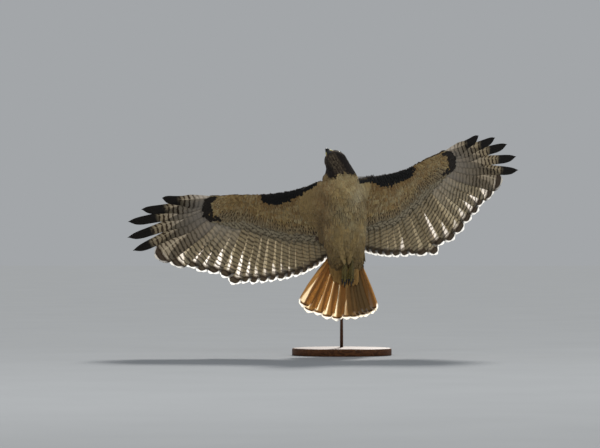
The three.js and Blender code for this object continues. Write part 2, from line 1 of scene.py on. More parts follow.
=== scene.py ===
# %% [markdown]
# # A red-tailed hawk in soaring flight, on a display stand
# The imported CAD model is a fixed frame, and every piece is built round it in the same place.
# A mounted bird has a few big vanes, many small overlapping feathers and a hard bill and feet.
# The big vanes are built one by one, and the small ones are scattered by Geometry Nodes.

# %% Load the frame
import json
import math
from functools import partial
import bmesh
import bpy
import numpy as np
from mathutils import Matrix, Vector
from mathutils.bvhtree import BVHTree
from mathutils.kdtree import KDTree

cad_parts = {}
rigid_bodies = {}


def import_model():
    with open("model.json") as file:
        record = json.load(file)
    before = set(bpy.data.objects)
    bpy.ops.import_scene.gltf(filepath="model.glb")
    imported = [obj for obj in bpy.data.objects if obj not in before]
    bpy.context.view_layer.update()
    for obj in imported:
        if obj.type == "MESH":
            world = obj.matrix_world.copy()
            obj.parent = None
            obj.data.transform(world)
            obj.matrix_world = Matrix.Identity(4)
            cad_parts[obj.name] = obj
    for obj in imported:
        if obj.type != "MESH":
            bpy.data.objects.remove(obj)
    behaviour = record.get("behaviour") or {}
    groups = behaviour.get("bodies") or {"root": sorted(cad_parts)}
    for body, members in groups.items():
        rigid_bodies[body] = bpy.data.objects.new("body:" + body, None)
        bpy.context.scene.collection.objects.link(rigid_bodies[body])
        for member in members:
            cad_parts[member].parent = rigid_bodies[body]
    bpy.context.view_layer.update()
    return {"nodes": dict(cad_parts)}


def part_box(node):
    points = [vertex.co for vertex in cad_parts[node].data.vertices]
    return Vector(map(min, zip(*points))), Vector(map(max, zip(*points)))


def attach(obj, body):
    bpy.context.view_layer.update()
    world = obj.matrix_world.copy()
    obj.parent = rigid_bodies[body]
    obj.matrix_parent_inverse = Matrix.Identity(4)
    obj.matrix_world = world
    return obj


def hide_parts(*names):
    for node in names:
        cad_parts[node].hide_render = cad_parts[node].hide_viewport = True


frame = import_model()
print("frame nodes:", len(frame["nodes"]))

# %% [markdown]
# ## The camera
# The photograph was taken from far below, so the view has almost no perspective. A long lens
# from twelve metres gives the same flat drawing, and keeps the camera level, above the floor.

# %% Camera
MM = 0.001
POSE_LEVEL = 395.0  # height over the floor, in mm, that the bird's places are counted from
CAMERA_DISTANCE = 12.05
CAMERA_ACROSS = -0.126
LENS_MM = 240.0


def new_object(name, data):
    """A mesh, a camera or a light as an object in the scene."""
    made = bpy.data.objects.new(name, data)
    bpy.context.scene.collection.objects.link(made)
    return made


camera_data = bpy.data.cameras.new("photo_camera")
camera_data.lens = LENS_MM
camera_data.sensor_width = 36.0
camera_data.clip_end = 60.0
camera = new_object("photo_camera", camera_data)
camera.location = (CAMERA_ACROSS, -CAMERA_DISTANCE, POSE_LEVEL * MM)
camera.rotation_euler = (math.radians(90), 0, 0)
bpy.context.scene.camera = camera
print("camera to bird, m:", CAMERA_DISTANCE, "lens, mm:", LENS_MM)

# %% [markdown]
# ## Sizes and axes
# Lengths are millimetres until a mesh is made. The body has three axes of its own: across to
# the bird's left, out of the belly, and along to the head. It is rolled and pitched a little,
# as a bird that circles, so all of it is laid out in these axes and not in the world's.

# %% Named sizes of the pose, the wings and the tail
BODY_PITCH, BODY_ROLL = math.radians(12), math.radians(12.5)
BODY_CENTRE = np.array([4.5, -50.0, POSE_LEVEL + 27])
HUMERUS, ULNA, HAND = 108.0, 122.0, 100.0
BONE_ROOT = -60.0  # the wing's line of bones starts this far inside the body
HAND_SWEEP = 1.5  # degrees from the outermost feather up to the bones of the hand
SECONDARIES = 14
PRIMARY_REACH = [278, 288, 300, 329, 356, 404, 398, 368, 322, 257]  # wrist to tip, inner to outer
LAST_PRIMARY = len(PRIMARY_REACH) - 1
LAST_FEATHER = SECONDARIES + LAST_PRIMARY  # flight feathers are numbered from 0, at the body
FIRST_FINGER = 5  # the innermost primary whose tip stands apart
CAMBER, CAMBER_CHORD, SLOPE_SPAN = 13.0, 270.0, 600.0
TAIL_COUNT, TAIL_LENGTH = 12, 219.0
TAIL_FAN = (math.radians(-37.5), math.radians(24))
TAIL_PIVOT = (4.0, -6.0, -107.0)
SIDES = ((-1, "right"), (1, "left"))

# A wing's own plane runs outwards from the shoulder and up to the head, in mm. slope is its
# rise at the body and further out, in degrees, and lead the two ends of its front edge. fan is
# the angles of the outermost and innermost primary, and stretch lengthens the outer ones. The
# tips of the secondaries run from outer to inner, and bow out between them by bulge.
WINGS = {
    "right": {
        "side": -1, "shoulder": (-60, -57, POSE_LEVEL + 84), "slope": (8, 14),
        "wrist": (225, -15), "lead": ((8, 40), (225, -3)), "fan": (-1.9, -62.6),
        "stretch": 0.035, "outer": (306, -264), "inner": (-3, -200), "bulge": 34,
    },
    "left": {
        "side": 1, "shoulder": (60, -33, POSE_LEVEL + 102), "slope": (32, 40),
        "wrist": (202.6, 46.3), "lead": ((8, 38), (205, 57)), "fan": (17.5, -40.8),
        "stretch": -0.035, "outer": (388, -170), "inner": (7, -187), "bulge": 50,
    },
}
print("wing bones to the wrist, mm:", HUMERUS + ULNA)

# %% Axes of the body and the head
def unit(v):
    return v / np.linalg.norm(v)


X_AXIS = np.array([1.0, 0, 0])
HEADWARD = np.array([0, -math.sin(BODY_PITCH), math.cos(BODY_PITCH)])
LEVEL_BELLY = np.array([0, -math.cos(BODY_PITCH), -math.sin(BODY_PITCH)])
BELLYWARD = LEVEL_BELLY * math.cos(BODY_ROLL) + X_AXIS * math.sin(BODY_ROLL)
LEFTWARD = X_AXIS * math.cos(BODY_ROLL) - LEVEL_BELLY * math.sin(BODY_ROLL)
BODY = (BODY_CENTRE, LEFTWARD, BELLYWARD, HEADWARD)

HEAD_TURN, HEAD_NOD = math.radians(37), math.radians(14)
head_along = np.array([
    -math.sin(HEAD_TURN) * math.cos(HEAD_NOD),
    -math.sin(HEAD_NOD),
    math.cos(HEAD_TURN) * math.cos(HEAD_NOD),
])
head_across = np.array([math.cos(HEAD_TURN), 0, math.sin(HEAD_TURN)])
head_belly = -np.cross(head_along, head_across)
if head_belly[1] > 0:
    head_belly = -head_belly
HEAD = (np.array([-19.5, -86, POSE_LEVEL + 187]), head_across, head_belly, head_along)


def at(axes, across, belly, along):
    """Places in a frame of axes, for numbers or whole arrays of them."""
    origin, a, b, c = axes
    places = origin + np.multiply.outer(across, a) + np.multiply.outer(belly, b)
    return places + np.multiply.outer(along, c)


def inside(axes, points):
    """Across, belly and along of points, in a frame of axes."""
    away = points - axes[0]
    return away @ axes[1], away @ axes[2], away @ axes[3]


print("head at", np.round(HEAD[0]))

# %% Steps between numbers and between rows
def mix(a, b, t):
    return a + (b - a) * t


def smooth(low, high, x):
    """From 0 at low to 1 at high, with soft ends."""
    t = np.clip((x - low) / (high - low), 0, 1)
    return t * t * (3 - 2 * t)


def four_round(rows, i):
    """The two rows of step i and one on each side, with the first and last row repeated."""
    return [rows[min(max(k, 0), len(rows) - 1)] for k in range(i - 1, i + 3)]


def curve_between(a, b, c, d, t):
    """A smooth way from b to c as t goes from 0 to 1, with a before them and d after."""
    return b + 0.5 * t * (c - a + t * (2 * a - 5 * b + 4 * c - d + t * (3 * (b - c) + d - a)))


def row_at(rows, place):
    """A smooth row between the rows of a table, by place from 0 to 1."""
    rows = np.array(rows, float)
    x = place * (len(rows) - 1)
    i = min(int(x), len(rows) - 2)
    return curve_between(*four_round(rows, i), x - i)


def ring(axes, row, count, grow=0.0):
    """A closed ring. A row is its place along, half width, depth to the belly and to the
    back, and its shifts across and to the belly."""
    along, half, belly, back, across, lift = row
    angle = np.arange(count) / count * 2 * math.pi
    depth = np.where(np.sin(angle) > 0, belly, back) + grow
    return at(axes, across + (half + grow) * np.cos(angle), lift + depth * np.sin(angle),
              np.full(count, along))


def rings_of(axes, rows, rings, count, grow=0.0):
    return np.array([ring(axes, row_at(rows, i / (rings - 1)), count, grow) for i in range(rings)])

# %% [markdown]
# ## Making meshes
# All hard and soft bodies here are tubes: rings of points joined up, with both ends closed.
# One helper turns points and faces into an object at the origin, in metres.

# %% Mesh helpers
def shade_smooth(mesh):
    mesh.polygons.foreach_set("use_smooth", [True] * len(mesh.polygons))


def new_mesh(name, points, faces):
    mesh = bpy.data.meshes.new(name)
    mesh.from_pydata(points, [], faces)
    shade_smooth(mesh)
    return mesh


def store_vectors(mesh, key, values):
    """Gives each point of a mesh a vector, which materials and nodes read by its name."""
    layer = mesh.attributes.new(key, "FLOAT_VECTOR", "POINT")
    layer.data.foreach_set("vector", np.asarray(values, float).ravel())


def plain_mesh(thing):
    """The mesh of an object after its modifiers."""
    graph = bpy.context.evaluated_depsgraph_get()
    return bpy.data.meshes.new_from_object(thing.evaluated_get(graph), depsgraph=graph)


def make_piece(name, points, faces, material):
    mesh = new_mesh(name, (np.asarray(points) * MM).tolist(), faces)
    mesh.materials.append(material)
    return new_object(name, mesh)


# %% Tubes
def tube_faces(rings, count):
    """Faces of a tube of rings, with a fan of triangles over each end's middle point."""
    faces = []
    for i in range(rings - 1):
        for j in range(count):
            a, b = i * count + j, i * count + (j + 1) % count
            faces.append((a, b, b + count, a + count))
    first, last, end = rings * count, rings * count + 1, (rings - 1) * count
    for j in range(count):
        k = (j + 1) % count
        faces.append((first, k, j))
        faces.append((last, end + j, end + k))
    return faces


def tube_of(rings):
    """Points and outward faces of a closed tube through an array of rings."""
    count = rings.shape[1]
    points = np.vstack([rings.reshape(-1, 3), rings[0].mean(0), rings[-1].mean(0)])
    faces = tube_faces(len(rings), count)
    a, b, c = (points[[f[i] for f in faces]] for i in range(3))
    turned = np.einsum("ij,ij->i", a - points.mean(0), np.cross(b - a, c - a)).sum() < 0
    return points, [tuple(reversed(f)) for f in faces] if turned else faces


def several_tubes(name, list_of_rings, material):
    """One piece of one or more closed tubes."""
    points, faces, start = [], [], 0
    for rings in list_of_rings:
        p, f = tube_of(rings)
        faces += [tuple(i + start for i in face) for face in f]
        points.append(p)
        start += len(p)
    return make_piece(name, np.vstack(points), faces, material)


# %% [markdown]
# ## Colour
# Paint charts give colours as sRGB hex, but light adds up in linear numbers. One function
# turns the first into the second. One more adds a node, with its settings and its links.

# %% Colour and node helpers
def linear(code):
    """Linear red, green and blue of an sRGB hex colour."""
    channels = [int(code[i:i + 2], 16) / 255 for i in (1, 3, 5)]
    return np.array([c / 12.92 if c <= 0.04045 else ((c + 0.055) / 1.055) ** 2.4 for c in channels])


def paint(code):
    return (*linear(code), 1.0)


def scale_of(size_mm):
    """The scale that gives a pattern its real size, as at scale 1 it measures one metre."""
    return 1 / (size_mm * MM)


def add_node(tree, kind, inputs=(), out=0, **settings):
    """Adds a node, gives it its settings, fills its inputs and returns one of its outputs.
    A shader's node goes by its type's name after ShaderNode."""
    prefix = "" if kind.startswith(("GeometryNode", "FunctionNode")) else "ShaderNode"
    node = tree.nodes.new(prefix + kind)
    for name, value in settings.items():
        setattr(node, name, value)
    pairs = inputs.items() if isinstance(inputs, dict) else enumerate(inputs)
    for key, value in pairs:
        if isinstance(value, bpy.types.NodeSocket):
            tree.links.new(value, node.inputs[key])
        else:
            node.inputs[key].default_value = value
    return node.outputs[out]


COLOUR_MIX = {"out": 2, "data_type": "RGBA"}  # settings that many nodes share
EASED = {"interpolation_type": "SMOOTHSTEP"}


def socket_name(word):
    return word.replace("_", " ").title().replace("Ior", "IOR")


def new_material(name, roughness, **sockets):
    """A material with its Principled shader, whose constant sockets are set here."""
    material = bpy.data.materials.new(name)
    material.use_nodes = True
    tree = material.node_tree
    shader = tree.nodes["Principled BSDF"]
    shader.inputs["Roughness"].default_value = roughness
    for word, value in sockets.items():
        shader.inputs[socket_name(word)].default_value = value
    return material, tree, shader


def link_sockets(tree, shader, **sockets):
    """Links the shader's sockets that change over the surface."""
    for word, value in sockets.items():
        tree.links.new(value, shader.inputs[socket_name(word)])


# %% [markdown]
# ## Barred vane
# A flight feather is keratin: a stiff shaft with barbs hooked into a thin vane that lets
# light through. Its bars lie across the barbs, so the pattern follows each feather's own map,
# measured in real millimetres along the shaft. Dark tips hold melanin, which resists wear.

# %% Bars of a flight feather
CLOUD_MM = 11.11  # size of the patches that make the tone and the bars uneven
BAR_SLANT_MM, BAR_WAVE_MM = 12.0, 13.0  # how far a bar leans to the edge, and wanders


def bar_pattern(tree, away, from_tip, cloud, spacing, strength, near_base):
    """Wavy bars across the vane, which fade to its base."""
    slant = add_node(tree, "Math", [away, BAR_SLANT_MM, from_tip], operation="MULTIPLY_ADD")
    wavy = add_node(tree, "Math", [cloud, BAR_WAVE_MM, slant], operation="MULTIPLY_ADD")
    count = add_node(tree, "Math", [wavy, spacing], operation="DIVIDE")
    turns = add_node(tree, "Math", [count, 2 * math.pi], operation="MULTIPLY")
    wave = add_node(tree, "Math", [turns], operation="SINE")
    bars = add_node(tree, "MapRange", [wave, 0.1, 0.8], **EASED)
    clear = add_node(tree, "Math", [1.0, near_base], operation="SUBTRACT")
    drawn = add_node(tree, "Math", [strength, clear], operation="MULTIPLY")
    return add_node(tree, "Math", [bars, drawn], operation="MULTIPLY", use_clamp=True)


# %% Painted glow and tips of a flight feather
RAGGED_MM = 10.0  # how far the edges of the dark marks wander
BLACK_MM = 76.0  # how far the black of a finger reaches from its tip, at a share of 1
SIDE_RIM_MM = (22.0, 13.0)  # the pale rim, partly a painted glow, runs up the sides of the tip and fades over this


def painted_glow_pattern(tree, aside, cloud, from_tip, bar_fill, share, glow_mm, band_mm):
    """A painted glow: the bright wedge beside the shaft, painted where one web alone lies in the light."""
    long = add_node(tree, "Math", [share, glow_mm[0]], operation="MULTIPLY")
    reach = add_node(tree, "Math", [long, glow_mm[1] + 2], operation="MAXIMUM")
    open_web = add_node(tree, "MapRange", [from_tip, reach, glow_mm[1], 0.02, 0.42])
    uneven = add_node(tree, "Math", [cloud, 0.05, aside], operation="MULTIPLY_ADD")
    place = add_node(tree, "Math", [uneven, open_web], operation="DIVIDE")
    before = add_node(tree, "MapRange", [place, 1.15, 0.75], **EASED)
    after = add_node(tree, "MapRange", [place, 0.05, 0.3], **EASED)
    in_web = add_node(tree, "Math", [before, after], operation="MULTIPLY")
    end = add_node(tree, "MapRange", [from_tip, band_mm[1] * 0.7, band_mm[1] * 1.2], **EASED)
    gaps = add_node(tree, "Math", [bar_fill, -1.0, 1.0], operation="MULTIPLY_ADD")
    web_end = add_node(tree, "Math", [end, gaps], operation="MULTIPLY")
    web = add_node(tree, "Math", [in_web, web_end], operation="MULTIPLY")
    strength = add_node(tree, "Math", [share, 1.0], operation="MINIMUM")
    return add_node(tree, "Math", [web, strength], operation="MULTIPLY")


def tip_patterns(tree, from_tip, cloud, rim, shares, band_mm, rim_mm):
    """The dark band before the tip, the black end of a finger, and the pale rim. The rim is partly the
    feather's own pale edge and partly a painted glow, widened to the size that light from behind gives it.
    """
    band_share, finger_share, rim_share = shares
    ragged = add_node(tree, "Math", [cloud, RAGGED_MM, from_tip], operation="MULTIPLY_ADD")
    soft = 0.3 * (band_mm[1] - band_mm[0])
    near, far = band_mm[0] + RAGGED_MM / 2, band_mm[1] + RAGGED_MM / 2
    start = add_node(tree, "MapRange", [ragged, far + soft, far - soft], **EASED)
    end = add_node(tree, "MapRange", [ragged, near - soft, near], **EASED)
    strong = add_node(tree, "Math", [start, band_share], operation="MULTIPLY")
    band = add_node(tree, "Math", [strong, end], operation="MULTIPLY")
    black_end = add_node(tree, "Math", [finger_share, -BLACK_MM, ragged], operation="MULTIPLY_ADD")
    dark = add_node(tree, "MapRange", [black_end, 12.0, -12.0], **EASED)
    is_finger = add_node(tree, "Math", [finger_share, 0.5], operation="GREATER_THAN")
    black = add_node(tree, "Math", [dark, is_finger], operation="MULTIPLY")
    at_side = add_node(tree, "MapRange", [rim, *rim_mm], **EASED)
    near_tip = add_node(tree, "MapRange", [from_tip, *SIDE_RIM_MM])
    at_rim = add_node(tree, "Math", [at_side, near_tip], operation="MULTIPLY")
    at_tip = add_node(tree, "MapRange", [from_tip, band_mm[0], band_mm[0] - 2.5], **EASED)
    edge = add_node(tree, "Math", [at_rim, at_tip], operation="MAXIMUM")
    # pale holds the rim's own paleness and a painted glow together
    pale = add_node(tree, "Math", [edge, rim_share], operation="MULTIPLY")
    return band, black, pale


# %% Flight feather material
BARB_MM = 1.4  # real barbs are 0.3 mm apart, which is too fine to show
BARB_SLANT_MM = 55.0
FINGER_BARS_MM = (165.0, 95.0)  # on a finger the bars grow stronger over this, from the tip


def barred_vane(name, colours, shade, through=0.56, band_mm=(8.0, 28.0),
                glow_mm=(84.0, 30.0), rim_mm=(8.5, 6.0)):
    """shade darkens the reflected colour alone, and through is the share of the light that
    passes each face. band_mm, glow_mm and rim_mm are distances from the tip and the edge."""
    material, tree, shader = new_material(
        name, 0.62, sheen_weight=0.08, sheen_roughness=0.5, specular_ior_level=0.3)
    across, along, _ = add_node(tree, "SeparateXYZ", [
        add_node(tree, "UVMap", uv_map="vane")]).node.outputs
    scale, marks, light = (add_node(tree, "SeparateXYZ", [
        add_node(tree, "Attribute", attribute_name=key, out="Vector")]).node.outputs
        for key in ("scale", "marks", "light"))
    length, spacing, rim = scale
    bar_share, band_share, finger_share = marks
    glow_share, plain_share, rim_share = light
    tone = add_node(tree, "Attribute", attribute_name="tone", out="Color")
    place = add_node(tree, "TexCoord", out="Object")
    cloud = add_node(tree, "TexNoise", {"Vector": place, "Scale": scale_of(CLOUD_MM), "Detail": 3.0})
    aside = add_node(tree, "Math", [across, 0.5], operation="SUBTRACT")
    away = add_node(tree, "Math", [aside], operation="ABSOLUTE")
    down = add_node(tree, "Math", [along, length], operation="MULTIPLY")
    from_tip = add_node(tree, "Math", [length, down], operation="SUBTRACT")
    near_finger = add_node(tree, "MapRange", [from_tip, *FINGER_BARS_MM, 0.0, 0.9])
    more = add_node(tree, "Math", [near_finger, finger_share, bar_share], operation="MULTIPLY_ADD")
    to_base = add_node(tree, "MapRange", [along, 0.66, 0.3])
    near_base = add_node(tree, "Math", [to_base, plain_share], operation="MULTIPLY")
    bar_fill = bar_pattern(tree, away, from_tip, cloud, spacing, more, near_base)
    # a painted glow: a bright wedge where light from behind would come through one web
    painted_glow = painted_glow_pattern(tree, aside, cloud, from_tip, bar_fill, glow_share, glow_mm, band_mm)
    band, black, pale = tip_patterns(
        tree, from_tip, cloud, rim, (band_share, finger_share, rim_share), band_mm, rim_mm)
    quill = add_node(tree, "MapRange", [away, 0.03, 0.012, 0.0, 0.6])
    dull = add_node(tree, "HueSaturation", {"Color": tone, "Value": 0.8})
    colour = add_node(tree, "Mix", {0: cloud, 6: tone, 7: dull}, **COLOUR_MIX)
    root_pale = add_node(tree, "Math", [near_base, 0.45], operation="MULTIPLY")
    for share, part in ((root_pale, "glow"), (bar_fill, "bar"), (painted_glow, "glow"),
                        (quill, "shaft"), (band, "band"), (black, "finger")):
        colour = add_node(tree, "Mix", {0: share, 6: colour, 7: paint(colours[part])}, **COLOUR_MIX)
    shaded = add_node(
        tree, "Mix", {0: 1.0, 6: colour, 7: paint(shade)}, **COLOUR_MIX, blend_type="MULTIPLY")
    edge = paint(colours["edge"])
    seen, inner = (
        add_node(tree, "Mix", {0: pale, 6: c, 7: edge}, **COLOUR_MIX) for c in (shaded, colour))
    thin = add_node(tree, "Gamma", [inner, 0.5])
    clear = add_node(tree, "Math", [painted_glow, pale], operation="MAXIMUM")
    passing = add_node(tree, "MapRange", [clear, 0.0, 1.0, through, max(through, 0.94)])
    barbs = add_node(tree, "Math", [away, BARB_SLANT_MM, down], operation="MULTIPLY_ADD")
    turns = add_node(tree, "Math", [barbs, 2 * math.pi / BARB_MM], operation="MULTIPLY")
    lines = add_node(tree, "Math", [turns], operation="SINE")
    bump = add_node(tree, "Bump", {"Strength": 0.25, "Distance": 0.0002, "Height": lines})
    link_sockets(tree, shader, base_color=seen, normal=bump)
    glow = add_node(tree, "BsdfTranslucent", {"Color": thin})
    blend = add_node(tree, "MixShader", [passing, shader.outputs[0], glow])
    tree.links.new(blend, tree.nodes["Material Output"].inputs["Surface"])
    return material


# %% Vane colours
# glow is the colour of the painted glow and of the plain feather bases, and edge that of the pale rim,
# which is partly a painted glow
VANE_COLOURS = {
    "bar": "#352A1E", "band": "#2E2118", "finger": "#14110F", "edge": "#FDFBF6", "shaft": "#B4A88E",
    "glow": "#FFF6EC"}
TAIL_COLOURS = {
    "bar": "#5E3418", "band": "#3E2412", "finger": "#14110F", "edge": "#FFF8EA", "shaft": "#C79A66",
    "glow": "#FFEBC2"}
TAIL_MM = {"band_mm": (9.5, 14.0), "glow_mm": (160.0, 32.0), "rim_mm": (7.0, 4.5)}
UNDER_VANE = barred_vane("barred vane keratin, underside", VANE_COLOURS, "#FFFFFF")
UPPER_VANE = barred_vane("barred vane keratin, upper side", VANE_COLOURS, "#6B5B57")
UNDER_COVERT = barred_vane("barred covert keratin, underside", VANE_COLOURS, "#FFFFFF", 0.2)
UPPER_COVERT = barred_vane("barred covert keratin, upper side", VANE_COLOURS, "#6B5B57", 0.2)
TAIL_UNDER = barred_vane("rufous tail vane keratin, underside", TAIL_COLOURS, "#FFFFFF", **TAIL_MM)
TAIL_UPPER = barred_vane("rufous tail vane keratin, upper side", TAIL_COLOURS, "#CB8E84", **TAIL_MM)
print("nodes in a vane's material:", len(UNDER_VANE.node_tree.nodes))

# %% [markdown]
# ## Soft contour feather
# A small body feather is loose at its edges and dull, so its light is soft, with some sheen.
# Its colour comes from its place on the bird, as one value for each feather. The shaft streak
# and the darker tip follow the feather's own map.

# %% Contour feather material
DOWN_MM = 2.5  # loose barbs clump at about this size
BARB_TURNS = 90.0  # fourteen fine lines over a feather, in place of barbs too fine to show


def contour_material(name, streak_code):
    material, tree, shader = new_material(
        name, 0.85, sheen_weight=0.06, sheen_roughness=0.6, specular_ior_level=0.2)
    across, along, _ = add_node(tree, "SeparateXYZ", [
        add_node(tree, "UVMap", uv_map="vane")]).node.outputs
    tone = add_node(tree, "Attribute", attribute_name="tone", out="Color")
    streak, spot, fringe = add_node(tree, "SeparateXYZ", [
        add_node(tree, "Attribute", attribute_name="marks", out="Vector")]).node.outputs
    place = add_node(tree, "TexCoord", out="Object")
    cloud = add_node(tree, "TexNoise", {"Vector": place, "Scale": scale_of(DOWN_MM), "Detail": 2.0})
    aside = add_node(tree, "Math", [across, 0.5], operation="SUBTRACT")
    away = add_node(tree, "Math", [aside], operation="ABSOLUTE")
    ragged = add_node(tree, "Math", [cloud, 0.2, away], operation="MULTIPLY_ADD")
    at_shaft = add_node(tree, "MapRange", [ragged, 0.24, 0.12], **EASED)
    line = add_node(tree, "Math", [at_shaft, streak], operation="MULTIPLY")
    far = add_node(tree, "MapRange", [along, 0.62, 0.72], **EASED)
    middle = add_node(tree, "MapRange", [ragged, 0.34, 0.22], **EASED)
    dot = add_node(tree, "Math", [far, middle], operation="MULTIPLY")
    end = add_node(tree, "Math", [dot, spot], operation="MULTIPLY")
    dark = add_node(tree, "Math", [line, end], operation="MAXIMUM")
    at_side = add_node(tree, "MapRange", [away, 0.3, 0.46])
    at_end = add_node(tree, "MapRange", [along, 0.82, 0.97])
    edge = add_node(tree, "Math", [at_side, at_end], operation="MAXIMUM")
    outer = add_node(tree, "Math", [edge, fringe], operation="MULTIPLY")
    deep = add_node(tree, "HueSaturation", {"Color": tone, "Value": 0.72})
    light = add_node(tree, "HueSaturation", {"Color": tone, "Value": 1.5, "Saturation": 0.9})
    root = add_node(tree, "MapRange", [along, 0.5, 0.15, 0.0, 0.8])
    colour = tone
    for share, over in ((root, deep), (outer, light), (dark, paint(streak_code))):
        colour = add_node(tree, "Mix", {0: share, 6: colour, 7: over}, **COLOUR_MIX)
    barbs = add_node(tree, "Math", [away, 1.2, along], operation="MULTIPLY_ADD")
    turns = add_node(tree, "Math", [barbs, BARB_TURNS], operation="MULTIPLY")
    lines = add_node(tree, "Math", [turns], operation="SINE")
    bump = add_node(tree, "Bump", {"Strength": 0.3, "Distance": 0.0002, "Height": lines})
    link_sockets(tree, shader, base_color=colour, normal=bump)
    return material


CONTOUR = contour_material("soft contour feather", "#302217")

# %% Skin material
SKIN_MM = 2.0  # the stubble of down on the skin


def skin_material():
    """Thin feathered skin: the same markings as the coat, seen only between feathers."""
    material, tree, shader = new_material("feathered skin", 0.9)
    tone = add_node(tree, "Attribute", attribute_name="tone", out="Color")
    place = add_node(tree, "TexCoord", out="Object")
    down = add_node(tree, "TexNoise", {"Vector": place, "Scale": scale_of(SKIN_MM), "Detail": 3.0})
    deep = add_node(tree, "HueSaturation", {"Color": tone, "Value": 0.6})
    colour = add_node(tree, "Mix", {0: down, 6: tone, 7: deep}, **COLOUR_MIX)
    bump = add_node(tree, "Bump", {"Strength": 0.5, "Distance": 0.0006, "Height": down})
    link_sockets(tree, shader, base_color=colour, normal=bump)
    return material


SKIN = skin_material()
print("coat and skin:", CONTOUR.name, "and", SKIN.name)

# %% [markdown]
# ## The wing's plan
# A spread wing is a fan. Each flight feather runs from a place on the bones to a tip on the
# wing's outline. In the wing's own plane u runs outwards and v to the head, and the plane
# bends gently and is arched behind the bones, as a wing that carries weight.

# %% Bones and tips of a wing
def step(start, angle, length):
    return start[0] + length * math.cos(angle), start[1] + length * math.sin(angle)


def hand_angle(wing):
    return math.radians(wing["fan"][0] + HAND_SWEEP)


def elbow_of(wrist):
    """The elbow hangs below the line from the shoulder to the wrist."""
    span = math.hypot(*wrist)
    foot = (HUMERUS ** 2 - ULNA ** 2 + span ** 2) / (2 * span)
    drop = math.sqrt(max(HUMERUS ** 2 - foot ** 2, 0))
    return ((wrist[0] * foot + wrist[1] * drop) / span, (wrist[1] * foot - wrist[0] * drop) / span)


def trailing_tip(wing, x):
    """Tip of a secondary, from the outermost (0) to the innermost (1)."""
    (u0, v0), (u1, v1) = wing["outer"], wing["inner"]
    y = x ** 0.75
    return mix(u0, u1, 1 - (1 - x) ** 1.35), mix(v0, v1, x) - wing["bulge"] * 4 * y * (1 - y)


def flight_layout(wing):
    """Bases and tips of all flight feathers, from the innermost to the outermost."""
    wrist, elbow = wing["wrist"], elbow_of(wing["wrist"])
    bases, tips = [], []
    for k in range(SECONDARIES - 1, -1, -1):
        x = k / (SECONDARIES - 1)
        along = 6 + x * (ULNA + HUMERUS - 20)
        if along < ULNA:
            bases.append([mix(wrist[i], elbow[i], along / ULNA) for i in (0, 1)])
        else:
            bases.append([mix(elbow[i], 0, (along - ULNA) / HUMERUS) for i in (0, 1)])
        tips.append(trailing_tip(wing, x))
    for k, reach in enumerate(PRIMARY_REACH):
        x = (LAST_PRIMARY - k) / LAST_PRIMARY
        bases.append(step(wrist, hand_angle(wing), 8 + (HAND - 12) * (1 - x)))
        angle = math.radians(mix(*wing["fan"], x ** 1.08))
        tips.append(step(wrist, angle, reach * (1 + wing["stretch"] * (1 - 2 * x))))
    return np.array(bases), np.array(tips)


LAYOUTS = {name: flight_layout(wing) for name, wing in WINGS.items()}
print("flight feathers in each wing:", len(LAYOUTS["left"][0]))

# %% The wing's plane in space
HAND_LINE = 400.0  # the line of the bones goes on past the hand, along the outermost feather


def wing_surface(wing, u, v, lift):
    """Places in space of points of the wing's plane, with a lift to its upper side."""
    u, v, lift = (np.asarray(x, float) for x in (u, v, lift))
    wrist = wing["wrist"]
    hand_end = step(wrist, math.radians(wing["fan"][0]), HAND_LINE)
    corners = [(BONE_ROOT, 0), elbow_of(wrist), wrist, hand_end]
    nearest = np.full(np.broadcast(u, v).shape, np.inf)
    for (u0, v0), (u1, v1) in zip(corners, corners[1:]):
        du, dv = u1 - u0, v1 - v0
        t = np.clip(((u - u0) * du + (v - v0) * dv) / (du * du + dv * dv), 0, 1)
        nearest = np.minimum(nearest, np.hypot(u - u0 - t * du, v - v0 - t * dv))
    q = nearest / CAMBER_CHORD
    h = CAMBER * 4 * q * (1 - q) + lift
    inner, outer = (math.radians(a) for a in wing["slope"])
    turn = (outer - inner) / SLOPE_SPAN
    angle = inner + turn * u
    out = (np.sin(angle) - math.sin(inner)) / turn - h * np.sin(angle)
    up = (math.cos(inner) - np.cos(angle)) / turn + h * np.cos(angle)
    return (np.array(wing["shoulder"], float) + np.multiply.outer(out, X_AXIS * wing["side"])
            + np.multiply.outer(up, -LEVEL_BELLY) + np.multiply.outer(v, HEADWARD))


for name, wing in WINGS.items():
    print(name, "wrist at", np.round(wing_surface(wing, *wing["wrist"], 0)))

# %% [markdown]
# ## Building a vane
# Each feather is a thin closed leaf: a grid of points for its upper face, one for its lower
# face and a rim between them. It is thickest at the shaft and thin at its edges. A sheaf
# gathers many leaves into one mesh, with a map of each vane and its marks.

